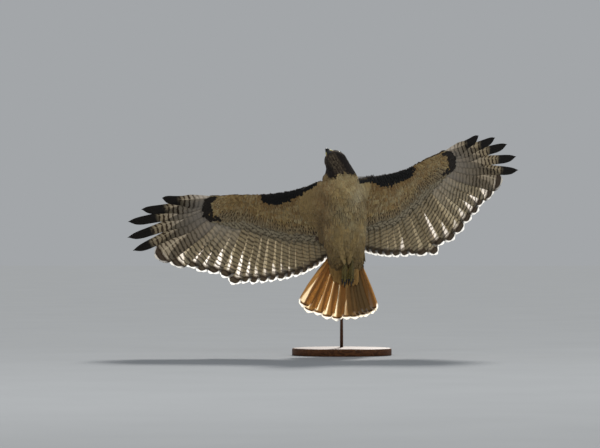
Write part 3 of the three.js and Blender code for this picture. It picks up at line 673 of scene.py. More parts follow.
# %% Sheaf of feathers
class Sheaf:
    """Gathers feathers, and makes one piece of them."""

    def __init__(self):
        self.points, self.faces, self.kinds, self.size = [], [], [], 0
        self.values = {"vane": [], "bake": [], "tone": [], "marks": [], "light": [], "scale": []}

    def add(self, upper, lower, across, along, patch, tone, marks, light, scale):
        """One leaf. patch gives its place in the bake map for the lower and the upper face."""
        rows, columns = upper.shape[:2]
        grid = np.arange(rows * columns).reshape(rows, columns)
        a, b = grid[:-1, :-1].ravel(), grid[:-1, 1:].ravel()
        c, d = grid[1:, 1:].ravel(), grid[1:, :-1].ravel()
        top = np.stack([a, b, c, d], 1)
        rim = np.concatenate([grid[0, :-1], grid[:-1, -1], grid[-1, :0:-1], grid[:0:-1, 0]])
        ahead = np.roll(rim, -1)
        count = rows * columns
        side = np.stack([rim, rim + count, ahead + count, ahead], 1)
        faces = np.vstack([top, top[:, ::-1] + count, side])
        points = np.vstack([upper.reshape(-1, 3), lower.reshape(-1, 3)])
        first = points[faces[:len(a)]]
        outward = np.cross(first[:, 1] - first[:, 0], first[:, 3] - first[:, 0])
        if (outward * (points[:count] - points[count:])[a]).sum() < 0:
            faces = faces[:, ::-1]
        self.faces.append(faces + self.size)
        self.kinds.append(np.concatenate([np.ones(len(a)), np.zeros(len(a) + len(side))]).astype(int))
        self.points.append(points)
        self.size += 2 * count
        u, v = np.broadcast_to(across, (rows, columns)), np.broadcast_to(along, (rows, columns))
        vane = np.stack([u.ravel(), v.ravel()], 1)
        self.values["vane"].append(np.vstack([vane, vane]))
        boxes = [np.array(box) for box in patch]
        self.values["bake"].append(np.vstack([box[0] + vane * (box[1] - box[0]) for box in boxes]))
        for key, value in (("tone", tone), ("marks", marks), ("light", light)):
            self.values[key].append(np.broadcast_to(np.asarray(value, float), (2 * count, 3)))
        scale = np.stack([np.broadcast_to(s, (rows, columns)).ravel() for s in scale], 1)
        self.values["scale"].append(np.vstack([scale, scale]))

    def make(self, name, materials):
        points, faces = np.vstack(self.points), np.vstack(self.faces)
        mesh = new_mesh(name, (points * MM).tolist(), faces.tolist())
        corners = np.empty(len(mesh.loops), int)
        mesh.loops.foreach_get("vertex_index", corners)
        for key, title in (("bake", "OFBake"), ("vane", "vane")):
            layer = mesh.uv_layers.new(name=title)
            layer.uv.foreach_set("vector", np.vstack(self.values[key])[corners].ravel())
        for key in ("tone", "marks", "light", "scale"):
            store_vectors(mesh, key, np.vstack(self.values[key]))
        for material in materials:
            mesh.materials.append(material)
        if len(materials) > 1:
            mesh.polygons.foreach_set("material_index", np.concatenate(self.kinds))
        print(name, "faces:", len(faces))
        return new_object(name, mesh)


# %% Outlines and grids of feathers
PATCH = 0.003  # width of one small feather's place in the bake map

# Place along the feather, and the share of its full width
BROAD = ((0, 0.12), (0.2, 0.66), (0.42, 0.95), (0.6, 0.97), (0.88, 1), (0.93, 0.95), (0.957, 0.87),
         (0.977, 0.74), (0.991, 0.56), (1, 0.34))
FINGER = ((0, 0.12), (0.25, 0.75), (0.46, 1), (0.54, 0.92), (0.62, 0.72), (0.75, 0.64), (0.87, 0.6),
          (0.92, 0.53), (0.955, 0.42), (0.98, 0.27), (1, 0.07))
TAIL = ((0, 0.3), (0.3, 0.7), (0.6, 0.96), (0.9, 1), (0.93, 0.97), (0.957, 0.88), (0.977, 0.74),
        (0.991, 0.56), (1, 0.34))
COVERT = ((0, 0.3), (0.3, 0.75), (0.62, 1), (0.8, 0.97), (0.9, 0.78), (0.96, 0.5), (1, 0.14))
LONG_ROWS = np.array([0, 0.05, 0.12, 0.2, 0.28, 0.36, 0.42, 0.48, 0.55, 0.62, 0.69, 0.76, 0.82, 0.87,
                      0.905, 0.93, 0.95, 0.967, 0.981, 0.992, 1])
SHORT_ROWS = np.array([0, 0.3, 0.62, 0.8, 0.9, 0.96, 1])
SMALL_ROWS = np.array([0, 0.35, 0.7, 0.9, 1])
WIDE_COLUMNS = np.array([-1, -0.8, -0.4, -0.07, 0, 0.07, 0.4, 0.8, 1])
FEW_COLUMNS = np.array([-1, -0.5, 0, 0.5, 1])
THREE_COLUMNS = np.array([-1, 0, 1])


def island(index, count, gap=0.1):
    """Two tall boxes of a bake map for a feather's lower and upper face, beside all others."""
    return [(((k + gap) / (2 * count), 0.01), ((k + 1 - gap) / (2 * count), 0.99))
            for k in (2 * index, 2 * index + 1)]


def small_island(across, up):
    """One small box of a bake map for both faces of a small feather."""
    spot = np.array([across, up])
    return [(spot - PATCH / 2, spot + PATCH / 2)] * 2


def across_wing(order):
    """How far along the bake map a feather lies, by its place between flight feathers."""
    return 0.02 + 0.96 * order / (LAST_FEATHER + 1)


# %% One feather
def grow_vane(sheaf, surface, base, tip, width, outline, rows, columns, lift, tilt, *, patch,
              tone, marks, light=(0, 0, 0), spacing=14.0, lead=0.4, thick=0.5, quill=1.6,
              bow=0.0, cup=0.0):
    """One feather over a surface. Its leading edge is raised by the tilt, so that neighbours
    overlap like shingles, and a cup bends its edges and tip down to the layer below."""
    du, dv = tip[0] - base[0], tip[1] - base[1]
    length = math.hypot(du, dv)
    eu, ev = -dv / length, du / length
    share = np.interp(rows, *zip(*outline))[:, None]
    side = np.where(columns < 0, -columns * lead, -columns * (1 - lead))[None, :]
    from_shaft = np.abs(columns[None, :])
    across = side * width * share
    along = rows[:, None] - 0.02 * (columns[None, :] ** 2) * (rows[:, None] > 0.8)
    offset = across + bow * 4 * along * (1 - along)
    u, v = base[0] + du * along + eu * offset, base[1] + dv * along + ev * offset
    middle = mix(lift[0], lift[1], along) + across * math.tan(tilt)
    middle = middle + cup * (1 - columns[None, :] ** 2) * np.sin(np.clip(along, 0, 1) * math.pi)
    half = 0.5 * mix(thick, 0.6 * thick, along) * (1 - 0.6 * from_shaft)
    half = half + 0.5 * quill * (from_shaft < 0.01) * (1 - 0.8 * along)
    rim = np.minimum((1 - from_shaft) * width * share * 0.5, (1 - along) * length)
    sheaf.add(
        surface(u, v, middle + half), surface(u, v, middle - half), 0.5 + 0.5 * columns[None, :],
        rows[:, None], patch, tone, marks, light, (length, spacing, rim))


print("points along a long vane:", len(LONG_ROWS), "and across:", len(WIDE_COLUMNS))

# %% [markdown]
# ## Flight feathers
# Fourteen secondaries grow from the arm and ten primaries from the hand. The outer five
# primaries narrow past their middles, so that their tips stand apart like fingers. Seen from
# below, every feather hides the front edge of the next one in.

# %% Tables of the flight feathers
SHINGLE = math.radians(5.5)
SHAFT_BOW = -5  # how far a finger's shaft bends, in mm

PAINTED_GLOW = {  # how strongly a glow is painted on each feather's single web, where light comes through it, from the innermost out
    "right": (0, 0, 0, 0.1, 0.2, 0.1, 0.5, 0.65, 0.75, 0.6, 0.7, 1.1, 1.5, 1.0,
              1.2, 1.2, 1.3, 0.75, 0.3, 0.3, 0.25, 0.2, 0.15, 0.1),
    "left": (0, 0, 0, 0.1, 0.1, 0.3, 0.1, 0.8, 0.2, 0.1, 0.3, 1.7, 0.9, 0.6,
             0.8, 1.0, 1.0, 0.8, 0.4, 0.3, 0.25, 0.2, 0.15, 0.1),
}
LONG_TIP = {"right": 12, "left": 11}  # the widest secondary in each wing, a fifth wider
TIP_SHIFTS = {  # feathers that are longer or shorter than the wing's outline, as shares
    "right": {12: 0.03}, "left": {9: 0.03, 10: 0.06, 11: -0.03, 12: -0.02}}
RIM_SHARE = {3: 0.75, 4: 0.4}  # the white edge, partly a painted glow, fades out on the primaries next to the fingers
FINGER_TONE = {"right": "#877B64", "left": "#9B8C70"}  # the right hand lies in more shade
FINGER_SHIFTS = {  # where the tips of the fingers really end, outwards and up, in mm
    "right": ((2, 6), (3, -2), (12, 0), (5, -5), (1, 0)),
    "left": ((14, -10), (14, -12), (5, -8), (5, -9), (1, -3)),
}
BLACK_SHARE = {  # how far the black of each finger reaches
    "right": (0.9, 1.2, 1.35, 1.1, 0.8), "left": (1.0, 1.08, 1.1, 0.95, 0.8)}
print("fingers on each wing:", len(PRIMARY_REACH) - FIRST_FINGER)

# %% Primaries and secondaries
rng = np.random.default_rng(28)
flight_pieces = []


def spread(tips, k):
    """Mean distance between a tip and its neighbours' tips."""
    ahead, behind = tips[min(k + 1, len(tips) - 1)], tips[max(k - 1, 0)]
    return 0.5 * (np.linalg.norm(tips[k] - ahead) + np.linalg.norm(tips[k] - behind))


def flight_tone(name, primary):
    """The tone of a flight feather by its number on the hand, which is negative on the arm."""
    if primary >= FIRST_FINGER:
        return linear(FINGER_TONE[name])
    if primary == FIRST_FINGER - 1:
        return linear("#A39680")
    return linear("#D3C4A4" if primary >= 0 else "#D0BF9B")


def flight_width(name, tips, k):
    """Wide where feathers overlap fully, and narrow where light comes through one web."""
    glow_shares = PAINTED_GLOW[name]
    overlap = mix(2.02, 1.36, min(max(glow_shares[max(k - 1, 0):k + 2]), 1))
    width = float(np.clip(overlap * spread(tips, k), 38, 68))
    return 1.2 * width if k == LONG_TIP[name] else width


def flight_feathers(name, wing):
    bases, tips = LAYOUTS[name]
    pieces = []
    for part, span in (("arm", range(SECONDARIES)), ("hand", range(SECONDARIES, len(tips)))):
        sheaf = Sheaf()
        for k in span:
            primary = k - SECONDARIES
            finger = primary >= FIRST_FINGER
            tip = tips[k] + rng.normal(0, 1.0, 2)
            tip = tip + (tip - bases[k]) * TIP_SHIFTS[name].get(k, 0.0)
            if finger:
                tip = tip + np.array(FINGER_SHIFTS[name][primary - FIRST_FINGER])
            black = BLACK_SHARE[name][primary - FIRST_FINGER] if finger else 0.0
            bars = 0.86 if finger else mix(0.5, 0.85, min(k / SECONDARIES, 1))
            pale_rim = RIM_SHARE.get(primary, 0.0 if finger else 1.0)
            grow_vane(
                sheaf, partial(wing_surface, wing), bases[k], tip,
                44.0 if finger else flight_width(name, tips, k), FINGER if finger else BROAD,
                LONG_ROWS, WIDE_COLUMNS, (0, 0), SHINGLE, lead=0.32 if finger else 0.4,
                bow=SHAFT_BOW if finger else 0, cup=0.8, patch=island(k - span[0], len(span)),
                tone=flight_tone(name, primary) * rng.uniform(0.92, 1.08),
                marks=(bars, 0.0 if finger else 0.9, black),
                light=(PAINTED_GLOW[name][k], 0.75 if primary >= 0 else 0.1, pale_rim),
                spacing=15.0 if finger else 10.5 + 0.2 * k)
        pieces.append((sheaf.make(f"flight_feathers_{name}_{part}", [UNDER_VANE, UPPER_VANE]), part))
    return pieces


for name, wing in WINGS.items():
    for piece, part in flight_feathers(name, wing):
        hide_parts(f"wing_{name}_{part}")
        flight_pieces.append(piece)

# %% [markdown]
# ## Wing coverts
# The roots of the flight feathers are hidden by rows of smaller feathers, which grow smaller
# to the leading edge. The greater coverts lie next to the vanes, one on each. Under the wing
# they are buff, with a black bar in front of the elbow and a dark comma at the hand.

# %% Places on the wing by feather
def wing_axis(name, order):
    """Base, direction and length of the feather line at a place between feathers."""
    bases, tips = LAYOUTS[name]
    marks = np.arange(len(tips))
    base = np.array([np.interp(order, marks, bases[:, i]) for i in (0, 1)])
    tip = np.array([np.interp(order, marks, tips[:, i]) for i in (0, 1)])
    away = tip - base
    return base, away / np.linalg.norm(away), float(np.linalg.norm(away))


LEAD_SAG = 10  # how deep the front edge hangs between the shoulder and the wrist


def front_edge(wing, u):
    (u0, v0), (u1, v1) = wing["lead"]
    t = (u - u0) / (u1 - u0)
    return mix(v0, v1, t) - LEAD_SAG * 4 * max(t * (1 - t), 0)


def front_reach(name, wing, order):
    """How far the wing's front edge lies ahead of the bones, against the feathers' direction."""
    base, way, _ = wing_axis(name, order)
    if order >= SECONDARIES - 0.5:
        slant = abs(math.atan2(way[1], way[0]) - hand_angle(wing))
        return mix(13, 7, (order - SECONDARIES) / LAST_PRIMARY) / max(math.sin(slant), 0.35)
    for reach in range(4, 90, 2):
        place = base - way * reach
        if place[1] > front_edge(wing, place[0]):
            return reach
    return 60.0


def flesh_height(order, share):
    """Height of the wing's flesh over its middle, by feather and by share of its depth."""
    x = order / (SECONDARIES - 1)
    thick = mix(15, 8, x) if x <= 1 else mix(8, 3.2, min((order - SECONDARIES) / LAST_PRIMARY, 1))
    profile = np.interp(share, (0, 0.07, 0.3, 0.7, 1, 1.5), (0.15, 0.6, 0.95, 0.8, 0.6, 0.45))
    return max(thick * profile, 4.2) if share > 0.25 else thick * profile


# %% Where the greater coverts end
# On the arm, as a share of each secondary's length under the wing, by the feather's number. On
# the hand, as a distance from the wrist in mm
ARM_ENDS = ((0, 3.5, 8, 12, 13.4), (0.76, 0.57, 0.45, 0.38, 0.38))
HAND_ENDS = ((14, 16, 18, 20, 22, 23), (112, 128, 150, 146, 128, 116))


def covert_end(name, wing, order, side):
    """Length of the greater covert at a place between feathers. Those above are longer."""
    base, way, length = wing_axis(name, order)
    if order <= ARM_ENDS[0][-1]:
        end = length * np.interp(order, *ARM_ENDS)
    else:
        away = base - np.array(wing["wrist"])
        reach = np.interp(order, *HAND_ENDS)
        ahead = float(away @ way)
        end = -ahead + math.sqrt(max(reach ** 2 - float(away @ away) + ahead ** 2, 0))
    return end if side < 0 else end * 1.08


for name, wing in WINGS.items():
    print(name, "covert at the wrist, mm:", round(covert_end(name, wing, SECONDARIES, -1)))

# %% Colours of the wing coverts
PATAGIAL = {  # depth of the black bar behind the front edge, by distance from the shoulder
    "right": ((0, -20), (14, 4), (25, 5), (36, 8), (55, 14), (72, 22), (96, 29), (128, 34),
              (156, 31), (178, 20), (190, 4), (200, -5)),
    "left": ((0, 14), (25, 15), (41, 20), (66, 31), (88, 34), (107, 33), (133, 30), (159, 27),
             (178, 20), (186, 10), (194, -5)),
}
BUFF_COVERT, GREY_COVERT, RUFOUS_COVERT = linear("#9C8454"), linear("#A3946E"), linear("#785930")
BLACK_COVERT, COMMA, DUSKY = linear("#080706"), linear("#1E1812"), linear("#83755A")


def patagial_depth(name, u):
    return np.interp(u, *zip(*PATAGIAL[name]))


def under_colour(name, order, place, from_front, to_end):
    """Tone and marks of an under covert, from its place on the wing."""
    # the paler grey patches are partly uneven tone and partly a painted highlight
    patch = 0.5 + 0.5 * math.sin(place[0] * 0.047 + 2.1) * math.sin(place[1] * 0.06 + place[0] * 0.02)
    tone = mix(BUFF_COVERT, GREY_COVERT, np.clip(patch + rng.normal(0, 0.3), 0, 1))
    tone = mix(tone, RUFOUS_COVERT, 0.7 * (0.5 + 0.5 * math.sin(13 * order + 2 * math.sin(3.1 * order))))
    marks = [0.9 * rng.uniform() ** 2, 0.0, 0.3]
    black_edge = patagial_depth(name, place[0])
    if order < SECONDARIES and from_front + 9 < black_edge + rng.normal(0, 1.5):
        return BLACK_COVERT, (0.0, 0.0, 0.0)
    fringe = smooth(black_edge + 20, black_edge - 4, from_front) if place[0] < 200 else 0.25
    tone = mix(tone, RUFOUS_COVERT, 0.8 * fringe * rng.uniform(0.4, 1))
    marks[0] = max(marks[0], 0.95 * fringe * rng.uniform(0.2, 1))
    if to_end < 80 and order < SECONDARIES + 3:
        tone = mix(tone, DUSKY, 0.8 * smooth(80, 50, to_end))
        marks[1] = 0.95 * (rng.uniform() < 0.85)
    return tone, marks


def upper_colour():
    brown, pale = linear("#413226"), linear("#7A6248")
    tone = mix(brown, pale, 0.5 * rng.uniform(0, 1) ** 2)
    return tone, (0.5 * rng.uniform(0.2, 1), 0.0, 0.7 * rng.uniform(0.3, 1))


print("buff covert, linear:", np.round(BUFF_COVERT, 2))

# %% Small coverts in rows
COVERT_ROWS = 20


def covert_rows(name, wing, side):
    """Small coverts of one face of a wing, row by row from the greater ones to the front edge."""
    sheaf = Sheaf()
    for row in range(COVERT_ROWS - 1, -1, -1):
        share = row / (COVERT_ROWS - 1)
        order = 0.12 * (row % 2)
        while order < LAST_FEATHER:
            base, way, _ = wing_axis(name, order)
            front = front_reach(name, wing, order)
            end_mm = covert_end(name, wing, order, side)
            size, width = mix(11, 27, share), mix(6.5, 13, share)
            bare = mix(26, 7, smooth(13, 17, order)) if side < 0 else 7
            root = mix(-front + 1.5, end_mm - size - bare, share ** 1.05)
            depth = (root + front) / (front + mix(34, 14, min(order / (SECONDARIES - 1), 1)))
            start = base + way * root + rng.normal(0, 0.6, 2)
            end = start + way * size * rng.uniform(0.9, 1.12) + rng.normal(0, 1.1, 2)
            height, far = flesh_height(order, depth), flesh_height(order, depth + size / 70)
            if side < 0:
                tone, marks = under_colour(name, order, start, root + front, end_mm - root)
                if row % 2:
                    marks = (marks[0], 0.35 * marks[1], marks[2])
            else:
                tone, marks = upper_colour()
            grow_vane(
                sheaf, partial(wing_surface, wing), start, end, width * rng.uniform(0.9, 1.15),
                COVERT, SMALL_ROWS, THREE_COLUMNS, (side * (height - 0.6), side * (far + 1.6)),
                side * math.radians(3), lead=0.5, thick=0.4, quill=0.0, cup=side * 0.8,
                patch=small_island(across_wing(order), (0.26 if side < 0 else 0.76) + 0.22 * share),
                tone=tone * rng.uniform(0.76, 1.24), marks=marks)
            next_base, next_way, _ = wing_axis(name, min(order + 0.25, LAST_FEATHER))
            gap = float(np.linalg.norm(next_base + next_way * root - base - way * root))
            order += 0.25 * (width * 0.6) / max(gap, 0.6)
    return sheaf

# %% The comma and the greater coverts
def comma(name, wing):
    """The dark tips of the outer primary coverts, which make a comma behind the wrist."""
    sheaf = Sheaf()
    for row in range(3):
        order = mix(17.3, 16.2, row / 2)
        while order < LAST_FEATHER:
            base, way, _ = wing_axis(name, order)
            end_mm = covert_end(name, wing, order, -1) - 8 * row + rng.normal(0, 2.2)
            size = mix(13, 17, smooth(17, 19, order)) * rng.uniform(0.85, 1.15)
            height = flesh_height(order, 1.2)
            grow_vane(
                sheaf, partial(wing_surface, wing), base + way * (end_mm - size), base + way * end_mm,
                rng.uniform(7, 12), COVERT, SMALL_ROWS, THREE_COLUMNS, (-height - 1.2, -height - 2.6),
                0.0, lead=0.5, thick=0.4, quill=0.0,
                patch=small_island(across_wing(order), 0.1 + 0.04 * row),
                tone=COMMA * rng.uniform(0.8, 1.3), marks=(0, 0, 0.15))
            order += 0.24 + (rng.uniform() < 0.25 * row) * 0.25
    return sheaf


def greater_coverts(name, wing, side):
    """One long covert on each flight feather, and a shorter one over the gap to the next."""
    sheaf = Sheaf()
    orders = np.arange(0, LAST_FEATHER + 0.6, 0.5)
    for i, order in enumerate(orders):
        base, way, _ = wing_axis(name, order)
        half_step = order % 1 > 0.25
        reach_mm = covert_end(name, wing, order, side) * (0.93 if half_step else 1.0)
        reach_mm += rng.normal(0, 1.5)
        next_base, next_way, _ = wing_axis(name, min(order + 1, LAST_FEATHER))
        pitch = float(np.linalg.norm(next_base + next_way * reach_mm - base - way * reach_mm))
        lift = (side * (3.6 if half_step else 3.0), side * (4.8 if half_step else 4.0))
        if side < 0:
            tone, marks = linear("#A3967A"), (0.75 if order < 17 else 0.2, 0.0, 0.0)
        else:
            tone, marks = linear("#A08C70"), (0.55, 0.6, 0.0)
        grow_vane(
            sheaf, partial(wing_surface, wing), base, base + way * reach_mm,
            float(np.clip(1.25 * pitch, 15, 36)), COVERT, SHORT_ROWS, WIDE_COLUMNS, lift,
            math.radians(4.5), thick=0.45, quill=0.8, patch=island(i, len(orders)), cup=side * 0.5,
            tone=tone * rng.uniform(0.9, 1.1), marks=marks, spacing=rng.uniform(9.5, 11))
    return sheaf


covert_roots = []
for name, wing in WINGS.items():
    for side, title, vane in ((-1, "under", UNDER_COVERT), (1, "upper", UPPER_COVERT)):
        greater = greater_coverts(name, wing, side).make(f"greater_coverts_{name}_{title}", [vane])
        sheaf = covert_rows(name, wing, side)
        lesser = sheaf.make(f"coverts_{name}_{title}", [CONTOUR])
        covert_roots.append((
            np.vstack([p[:1] for p in sheaf.points]), np.vstack([t[:1] for t in sheaf.values["tone"]])))
        flight_pieces += [greater, lesser]
    flight_pieces.append(comma(name, wing).make(f"comma_{name}", [CONTOUR]))

# %% [markdown]
# ## Alula
# Three stiff feathers on the thumb lie along the front of the hand.

# %% Alula
def alula(name, wing):
    sheaf = Sheaf()
    angle = hand_angle(wing)
    up = angle + math.radians(90)
    for k in range(3):
        base = step(step(wing["wrist"], angle, 4 + 7 * k), up, 5 - k)
        tip = step(step(wing["wrist"], angle, 92 - 16 * k), up, 1 - 6 * k)
        grow_vane(
            sheaf, partial(wing_surface, wing), base, tip, 17, FINGER, LONG_ROWS, WIDE_COLUMNS,
            (3, 6 + 1.4 * (2 - k)), math.radians(2), patch=island(k, 3), tone=linear("#A08C70"),
            marks=(0.5, 0.7, 0), spacing=10)
    return sheaf.make(f"alula_{name}", [UPPER_VANE])


for name, wing in WINGS.items():
    flight_pieces.append(alula(name, wing))

# %% [markdown]
# ## Tail
# Twelve tail feathers fan from one place, the middle pair on top. Each half of the fan is a
# stack that steps down to the outermost feather. The rufous web glows where only one vane
# lies in the light, by translucency and by a painted glow, and a thin dark line crosses it
# before the white tip.

# %% Places and tones on the tail
def tail_surface(u, v, lift):
    return at(BODY, TAIL_PIVOT[0] + u, TAIL_PIVOT[1] - lift, TAIL_PIVOT[2] + v)


def fanned(angle, reach):
    return np.array([reach * math.sin(angle), -reach * math.cos(angle)])


def tail_tone(k):
    """The left half glows orange, and the right half lies in its own shade, but for its edge."""
    shade = smooth(4.0, 5.6, k) * (1 - smooth(10.2, 10.9, k))
    return mix(linear("#BC8A4C"), linear("#A98A5A"), shade) * rng.uniform(0.93, 1.07)


def tail_root(angle):
    """Roots of the tail feathers stand in a row across the tail's bone."""
    return np.array([mix(-48, 36, (angle - TAIL_FAN[0]) / (TAIL_FAN[1] - TAIL_FAN[0])), -26.0])


print("tail fan, degrees:", np.round(np.degrees(TAIL_FAN), 1))

# %% Tail feathers
# how strongly a glow is painted on each tail feather's single web, where light comes through it
TAIL_PAINTED_GLOW = (0.8, 1.0, 1.2, 1.3, 1.1, 0.4, 0, 0, 0, 0, 0, 0.5)
TAIL_PLACES = (0, 0.1, 0.23, 0.37, 0.51, 0.65, 0.76, 0.84, 0.9, 0.945, 0.99, 1.04)  # in the fan
TAIL_WIDTHS = (44, 44, 44, 44, 44, 44, 44, 44, 44, 42, 36, 26)
TAIL_REACH = (-4, 2, -3, 1, 3, -1, 2, 0, 3, -2, 1, -3)  # how much longer each feather is, in mm

tail_sheaf = Sheaf()
for k in range(TAIL_COUNT):
    angle = mix(*TAIL_FAN, TAIL_PLACES[k])
    from_middle = abs(k - (TAIL_COUNT - 1) / 2) - 0.5
    side = 1 if k < TAIL_COUNT / 2 else -1
    grow_vane(
        tail_sheaf, tail_surface, tail_root(angle), fanned(angle, TAIL_LENGTH + TAIL_REACH[k]),
        TAIL_WIDTHS[k], TAIL, LONG_ROWS, WIDE_COLUMNS, (-1.3 * from_middle, -1.6 * from_middle),
        side * math.radians(1.5), lead=0.5, cup=0.5, patch=island(k, TAIL_COUNT),
        tone=tail_tone(k), marks=(0.04, 0.75, 0.0), light=(TAIL_PAINTED_GLOW[k], 0.0, 1.0), spacing=15)
tail_piece = tail_sheaf.make("tail_feathers", [TAIL_UNDER, TAIL_UPPER])
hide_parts("tail")

# %% [markdown]
# ## The body as one tube
# From the tail's root to the face the bird is one soft tube, with a bend at the neck where the
# head turns to its right. Rings from the CAD's own tables give its shape. The skin is that
# tube, drawn in by the depth of the feathers, and the feathers' tips come back out to it.

# %% Body rings
# Place along, half width, depth to the belly and to the back, shift across and to the belly
BODY_ROWS = (
    (-176, 42, 6, 8, 8, -6), (-160, 48, 13, 15, 9, -5), (-146, 52, 22, 22, 9, -3),
    (-132, 54, 29, 28, 8, -1), (-118, 57, 36, 33, 7, 0), (-90, 60, 46, 39, 4, 0),
    (-55, 65, 54, 45, 1, 0), (-10, 67, 60, 50, 0, 0), (35, 67, 61, 50, -1, 0),
    (72, 63, 56, 47, -3, 0), (98, 56, 49, 43, -7, 0))
HEAD_ROWS = (
    (2, 33.5, 28.5, 33, -1, 0), (15, 28, 24.5, 28.5, 0, 0), (25, 21, 19, 21, 0, 0),
    (33, 12.5, 13, 12.5, 0, 0))
# Left and right edge of the neck as it turns, in the world's x and z, then y, and its depths
NECK_EDGES = (
    (-54.6, 537.5, 39.9, 548.0, -74, 6, 43, 40), (-50.0, 547.0, 25.5, 572.0, -79, 4, 36, 36),
    (-48.0, 557.5, 17.0, 586.0, -83, 1.5, 31, 34))
RING_POINTS = 72
RING_STEP = 4.0


def neck_ring(edge):
    x0, z0, x1, z1, y, slant, belly, back = edge
    half = np.array([(x1 - x0) / 2, slant, (z1 - z0) / 2])
    angle = np.arange(RING_POINTS) / RING_POINTS * 2 * math.pi
    depth = np.where(np.sin(angle) > 0, belly, back) * np.sin(angle)
    middle = np.array([(x0 + x1) / 2, y, (z0 + z1) / 2])
    outward = unit(BODY[2] + HEAD[2])
    return middle + np.multiply.outer(np.cos(angle), half) + np.multiply.outer(depth, outward)


def splined(rings):
    """Smooth rings between the given ones, about a step apart."""
    fine = [rings[0]]
    for i in range(len(rings) - 1):
        four = four_round(rings, i)
        count = max(int(np.linalg.norm((four[2] - four[1]).mean(0)) / RING_STEP), 1)
        for t in np.arange(1, count + 1) / count:
            fine.append(curve_between(*four, t))
    return np.array(fine)


def tube_frame(rings, closed=True):
    """Outward normals, the way to the tail, and distance along the rows, at each point."""
    along = np.gradient(rings, axis=0)
    around = np.roll(rings, -1, 1) - np.roll(rings, 1, 1) if closed else np.gradient(rings, axis=1)
    normal = np.cross(around, along)
    normal /= np.linalg.norm(normal, axis=2, keepdims=True) + 1e-9
    out = rings - rings.mean(1, keepdims=True) if closed else np.broadcast_to(BODY[2], rings.shape)
    if (out * normal).sum() < 0:
        normal = -normal
    lie = -along / (np.linalg.norm(along, axis=2, keepdims=True) + 1e-9)
    length = np.concatenate([[0], np.cumsum(np.linalg.norm(np.diff(rings.mean(1), axis=0), axis=1))])
    return normal, lie, length


# %% The coat's surface and the skin under it
COAT_DEPTH = (3, 4.5, 4.5, 2.4, 1.8)  # from the tail's root to the face
coat_rings = splined(
    [ring(BODY, row, RING_POINTS) for row in BODY_ROWS] + [neck_ring(edge) for edge in NECK_EDGES]
    + [ring(HEAD, row, RING_POINTS) for row in HEAD_ROWS])
body_normal, _, body_length = tube_frame(coat_rings)
coat_depth = np.interp(body_length, (0, 60, 270, 330, body_length[-1]), COAT_DEPTH)
skin_rings = coat_rings - body_normal * coat_depth[:, None, None]
print("body length along its middle, mm:", round(float(body_length[-1])))

# %% [markdown]
# ## Markings
# One function gives the colour at a place on the body, so that the skin and its feathers
# agree. The hood is dark, the breast buff with a band of thin dark streaks over the belly,
# the lower belly plain and the back dark brown with pale-edged feathers. Light and shade are
# painted into the buff too: a highlight high on the breast's left, and shade on its right
# side, in the hollow by the right wing and towards the vent.

# %% Markings of the body and head
BUFF, BUFF_GREY = linear("#A58D5D"), linear("#AA9A72")
# these two are buff darkened by painted shade: on the bird's right side, and under the body towards the
# vent
BUFF_WARM_SHADE, SHADED_VENT = linear("#907249"), linear("#7C673F")
HOOD, CROWN, BACK, BACK_PALE = linear("#1D1612"), linear("#3A281E"), linear("#41332A"), linear("#7D6A52")
CHIN_PALE, CHIN_DARK = linear("#8F8068"), linear("#2E251D")
# these two paint light and shade: a highlight on the breast, and the shadow by the right wing
BUFF_LIT, FLANK_SHADE = linear("#C2B594"), linear("#5A482C")
# Where the dark hood ends on the breast: along the body, by place across it
HOOD_EDGE = ((-60, -46, -38, -24, -12, 8, 22, 40, 60), (136, 134, 127, 129, 139, 141, 135, 131, 129))


def soft_patches(point, size):
    """A slow change of tone over the body, from 0 to 1, with patches of about a size."""
    x, y, z = point / size
    return 0.5 + 0.25 * (math.sin(x + 1.7 * math.sin(z)) + math.sin(1.3 * z + 2.1 * math.sin(x + y)))


def hood_tone(normal, head_place):
    """Tone of the dark hood, with how strongly a pale, streaked chin shows in it."""
    head_left, head_down, head_ahead = head_place
    head_front = float(normal @ HEAD[2])
    dark = mix(HOOD, CROWN, smooth(0.2, -0.5, head_front) * rng.uniform(0.6, 1))
    chin = smooth(0.35, 0.75, head_front) * smooth(-40, -8, head_ahead) * smooth(20, 8, abs(head_left + 4))
    wander = 0.9 * math.sin(0.16 * head_ahead) + rng.normal(0, 0.9)
    line = 0.5 + 0.5 * math.sin(0.85 * head_left + wander)
    dark = mix(dark, mix(CHIN_DARK, CHIN_PALE, line * rng.uniform(0.4, 1)), 0.7 * chin)
    cheek = math.exp(-((head_down - 4) / 5) ** 2) * smooth(4, 20, head_ahead)
    return mix(dark, CHIN_PALE, 0.5 * cheek * rng.uniform()), chin


